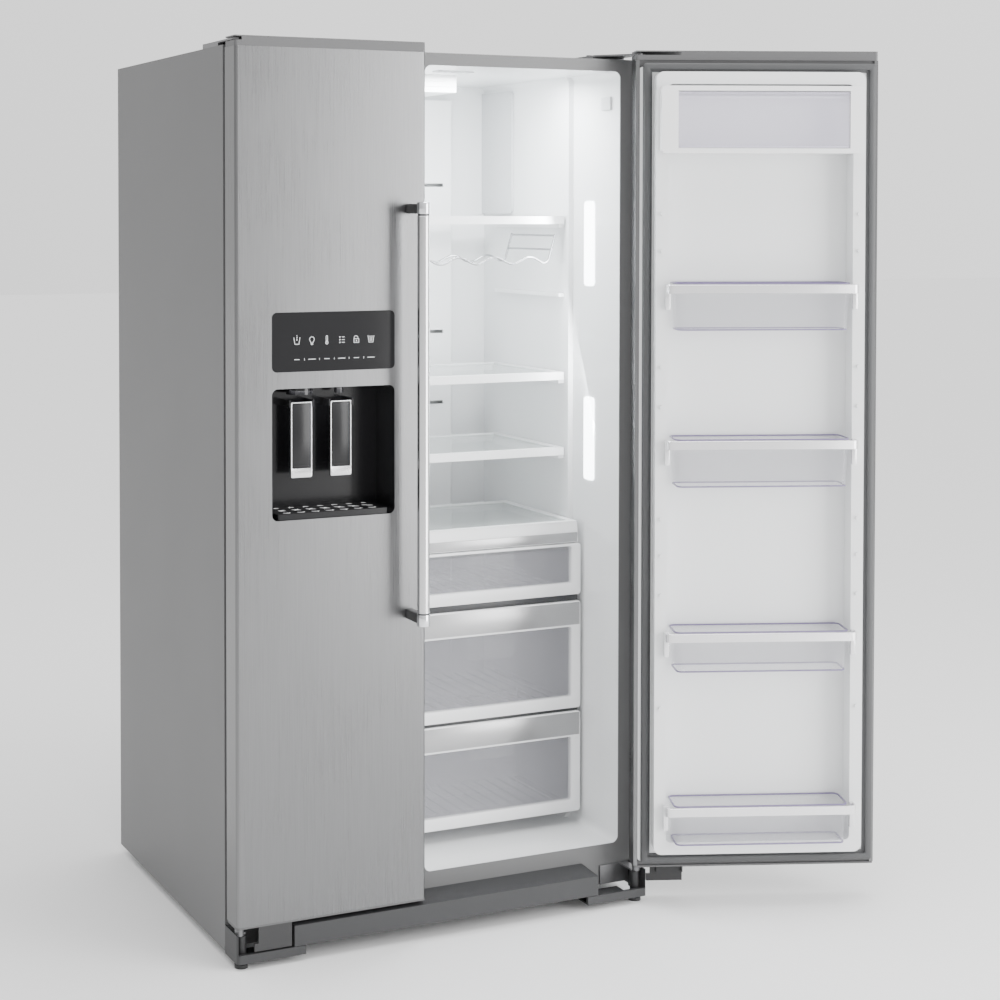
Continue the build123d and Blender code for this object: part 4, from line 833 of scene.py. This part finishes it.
# ---- Drip tray grid ---------------------------------------------------------------------------
# A grille of raised polished ribs moulded on the tray's top, in rows of flattened ovals.
tray_low, tray_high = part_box("drip_tray")
oval_columns = 7
oval_rows = 2
side_margin = 0.01
front_margin = 0.012
row_pitch = 0.034
oval_length = 0.031
oval_gap = 0.002
oval_corner = 0.0125
oval_sink = 0.0003
oval_profile = ((0, 0), (0.0003, 0.0008), (0.0011, 0.0008), (0.0014, 0))
column_pitch = (tray_high.x - tray_low.x - 2 * side_margin) / oval_columns
grid = bmesh.new()
for column in range(oval_columns):
    for row in range(oval_rows):
        oval_x = tray_low.x + side_margin + column_pitch * column
        oval_y = tray_low.y + front_margin + row_pitch * row
        across = (oval_x + oval_gap, oval_x + column_pitch - oval_gap)
        along = (oval_y, oval_y + oval_length)
        rings = []
        for pull, rise in oval_profile:
            level = tray_high.z - oval_sink + rise
            rings.append((grow(across, -pull), grow(along, -pull), level, oval_corner - pull))
        loft(grid, rings, join=True)
add_piece("drip_tray_grid", grid, satin_bar, "freezer_door")

# ---- Touch panel marks ------------------------------------------------------------------------
# Six printed symbols over a row of short dashes: glass, lamp, thermometer, list, lock, ice.
print_white = finish("print_white", (0.85, 0.86, 0.87), 0.4, streak=0.04, size=600)
print_shader = print_white.node_tree.nodes["Principled BSDF"]
print_shader.inputs["Emission Color"].default_value = (0.9, 0.95, 1.0, 1)
print_shader.inputs["Emission Strength"].default_value = 0.35
panel_low, panel_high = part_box("control_panel")
print_y = grow((panel_low.y, panel_low.y), 0.0003)
stroke = 0.0008
icon_level = 0.52
dash_level = 0.205
pitch_share = 0.121
long_dash = 0.015
short_dash = 0.011
marks = bmesh.new()


def bar(x, z, width, height, lean=0.0):
    """One straight printed stroke, centred on a point of the panel."""
    place = Matrix.Translation((x, middle(print_y), z)) @ Matrix.Rotation(lean, 4, "Y")
    size = Matrix.Diagonal((width, print_y[1] - print_y[0], height, 1))
    bmesh.ops.create_cube(marks, size=1, matrix=place @ size)


def hoop(x, z, radius, turn=0.0, share=1.0, steps=16):
    """A printed arc, as short strokes round a centre."""
    count = max(3, int(steps * share))
    for step in range(count):
        angle = turn + 2 * pi * share * (step + 0.5) / count
        length = 2 * pi * share * radius / count * 1.15
        bar(x + radius * cos(angle), z + radius * sin(angle), length, stroke, pi / 2 - angle)


def tumbler(x, z):
    """A glass: two leaning sides and a foot."""
    for flank in (-1, 1):
        bar(x + flank * 0.0052, z, stroke, 0.0135, flank * 0.16)
    bar(x, z - 0.0064, 0.0090, stroke)


panel_middle = middle((panel_low.x, panel_high.x))
icon_pitch = (panel_high.x - panel_low.x) * pitch_share
icon_z = panel_low.z + (panel_high.z - panel_low.z) * icon_level
icons = [panel_middle + icon_pitch * (step - 2.5) for step in range(6)]
tumbler(icons[0], icon_z)
for drop in range(3):
    bar(icons[0], icon_z + 0.002 + 0.004 * drop, stroke * (1.6 - 0.3 * drop), 0.0024, 0.5)
hoop(icons[1], icon_z + 0.0022, 0.0048, -0.28 * pi, 0.78)
for flank in (-1, 1):
    bar(icons[1] + flank * 0.0026, icon_z - 0.0030, stroke, 0.0026)
for level in (0.0046, 0.0062, 0.0078):
    bar(icons[1], icon_z - level, 0.0046, stroke)
for flank in (-1, 1):
    bar(icons[2] + flank * 0.0015, icon_z + 0.0022, stroke, 0.0105)
hoop(icons[2], icon_z + 0.0072, 0.0015, 0.0, 0.5, 10)
hoop(icons[2], icon_z - 0.0050, 0.0026, 0.68 * pi, 0.82)
bar(icons[2], icon_z - 0.0036, stroke, 0.0060)
for row in (-1, 0, 1):
    bar(icons[3] - 0.0040, icon_z + 0.0052 * row, 0.0026, stroke, 0.8)
    bar(icons[3] - 0.0034, icon_z + 0.0052 * row, 0.0034, stroke, -0.8)
    bar(icons[3] + 0.0034, icon_z + 0.0052 * row, 0.0060, stroke)
for level in (-0.0062, 0.0012):
    bar(icons[4], icon_z + level, 0.0110, stroke)
for flank in (-1, 1):
    bar(icons[4] + flank * 0.0050, icon_z - 0.0025, stroke, 0.0080)
bar(icons[4], icon_z - 0.0026, 0.0016, 0.0030)
hoop(icons[4] - 0.0008, icon_z + 0.0030, 0.0038, 0.0, 0.55)
tumbler(icons[5], icon_z)
for offset in (-0.0022, 0.0, 0.0022):
    bar(icons[5] + offset, icon_z + 0.001, stroke * 0.8, 0.0105, offset * 40)
dash_z = panel_low.z + (panel_high.z - panel_low.z) * dash_level
for step, icon in enumerate(icons):
    bar(icon, dash_z, long_dash if step % 2 else short_dash, 0.0009)
    if icon != icons[-1]:
        bar(icon + icon_pitch / 2, dash_z, 0.0006, 0.0040)
add_piece("panel_marks", marks, print_white, "freezer_door")

# ---- Base -------------------------------------------------------------------------------------
# The grille is one dark grey moulding; behind its ends are the hinge brackets in a grey wash coat
# and the dark levelling legs.  Two nylon rollers carry the back.
grille_plastic = finish(
    "grille_plastic", (0.034, 0.0345, 0.036), 0.46, streak=0.06, size=1000, depth=0.00008
)
hinge_metal = finish(
    "hinge_metal", (0.19, 0.19, 0.195), 0.35, metallic=0.6, streak=0.10, size=900, depth=0.00003
)
dark_foot = finish("dark_foot", (0.030, 0.030, 0.031), 0.40, metallic=0.3, streak=0.10, size=700)
roller_nylon = finish("roller_nylon", (0.06, 0.06, 0.062), 0.45, streak=0.08, size=700)
coat_nodes(grille_plastic, "base_grille")
coat_nodes(hinge_metal, "bottom_hinges", "top_hinges")
coat_nodes(dark_foot, "front_feet")
coat_nodes(roller_nylon, "rear_rollers")

# ---- Machine compartment ----------------------------------------------------------------------
# Behind the lower cover: an enamelled compressor and condenser, a fan in its shroud, the drain
# pan and the water valve.
black_enamel = finish("black_enamel", (0.014, 0.014, 0.015), 0.30, streak=0.08, size=300, depth=0.00008)
grey_moulding = finish("grey_moulding", (0.30, 0.31, 0.32), 0.45, streak=0.05, size=900)
bare_aluminium = finish("bare_aluminium", (0.70, 0.71, 0.72), 0.30, metallic=1.0, streak=0.12, size=500)
valve_nylon = finish("valve_nylon", (0.10, 0.16, 0.28), 0.42, streak=0.05, size=900)
coat_nodes(black_enamel, "compressor", "condenser")
coat_nodes(grey_moulding, "fan_shroud", "drain_pan", "evaporator_fan")
coat_nodes(dark_moulding, "condenser_fan", "cord_gland")
coat_nodes(bare_aluminium, "evaporator")
coat_nodes(valve_nylon, "water_valve")

# ---- Studio -----------------------------------------------------------------------------------
# A plain pale floor, a bright even surround and large soft lamps; small lamps stand for the
# light inside the fresh food compartment.
floor_size = 30
surround_level = 1.25
surround_slope = 0.5
floor = bmesh.new()
bmesh.ops.create_grid(floor, x_segments=1, y_segments=1, size=floor_size)
floor_mesh = bpy.data.meshes.new("floor")
floor.to_mesh(floor_mesh)
floor.free()
floor_object = bpy.data.objects.new("floor", floor_mesh)
bpy.context.scene.collection.objects.link(floor_object)
floor_mesh.materials.append(
    finish("floor_paint", (0.93, 0.93, 0.93), 0.75, streak=0.01, mottle=0.01, size=40, depth=0.00005)
)
world = bpy.data.worlds.new("surround")
world.use_nodes = True
sky = world.node_tree
background = sky.nodes["Background"]
background.inputs["Color"].default_value = (1, 1, 1, 1)
aim = sky.nodes.new("ShaderNodeTexCoord")
parts = sky.nodes.new("ShaderNodeSeparateXYZ")
sky.links.new(aim.outputs["Generated"], parts.inputs[0])
sideways = multiply_add(sky, parts.outputs["X"], surround_slope, surround_level)
upward = multiply_add(sky, parts.outputs["Z"], surround_slope, sideways)
sky.links.new(upward, background.inputs["Strength"])
bpy.context.scene.world = world


def soft_lamp(name, place, target, size, power, tint=(1, 1, 1)):
    """A rectangular area lamp that faces a point."""
    data = bpy.data.lights.new(name, "AREA")
    data.shape = "RECTANGLE"
    data.size, data.size_y = size
    data.energy = power
    data.color = tint
    lamp = bpy.data.objects.new(name, data)
    lamp.location = place
    lamp.rotation_euler = (Vector(target) - Vector(place)).to_track_quat("-Z", "Y").to_euler()
    bpy.context.scene.collection.objects.link(lamp)


soft_lamp("key_lamp", (2.4, -3.0, 1.2), (0.0, 0, 0.90), (2.2, 2.8), 165)
soft_lamp("top_lamp", (0.2, -0.6, 3.8), (0.1, 0.1, 0.8), (2.2, 2.2), 60)
soft_lamp("ceiling_diodes", (0.20, 0.16, 1.725), (0.20, 0.24, 0.9), (0.30, 0.10), 6, (0.95, 0.98, 1))
soft_lamp("wall_diodes", (0.415, 0.13, 1.10), (0.0, 0.40, 1.0), (0.05, 1.1), 6, (0.95, 0.98, 1))
soft_lamp("dispenser_diode", (-0.25, -0.03, 1.098), (-0.25, 0.0, 0.9), (0.16, 0.02), 0.18)
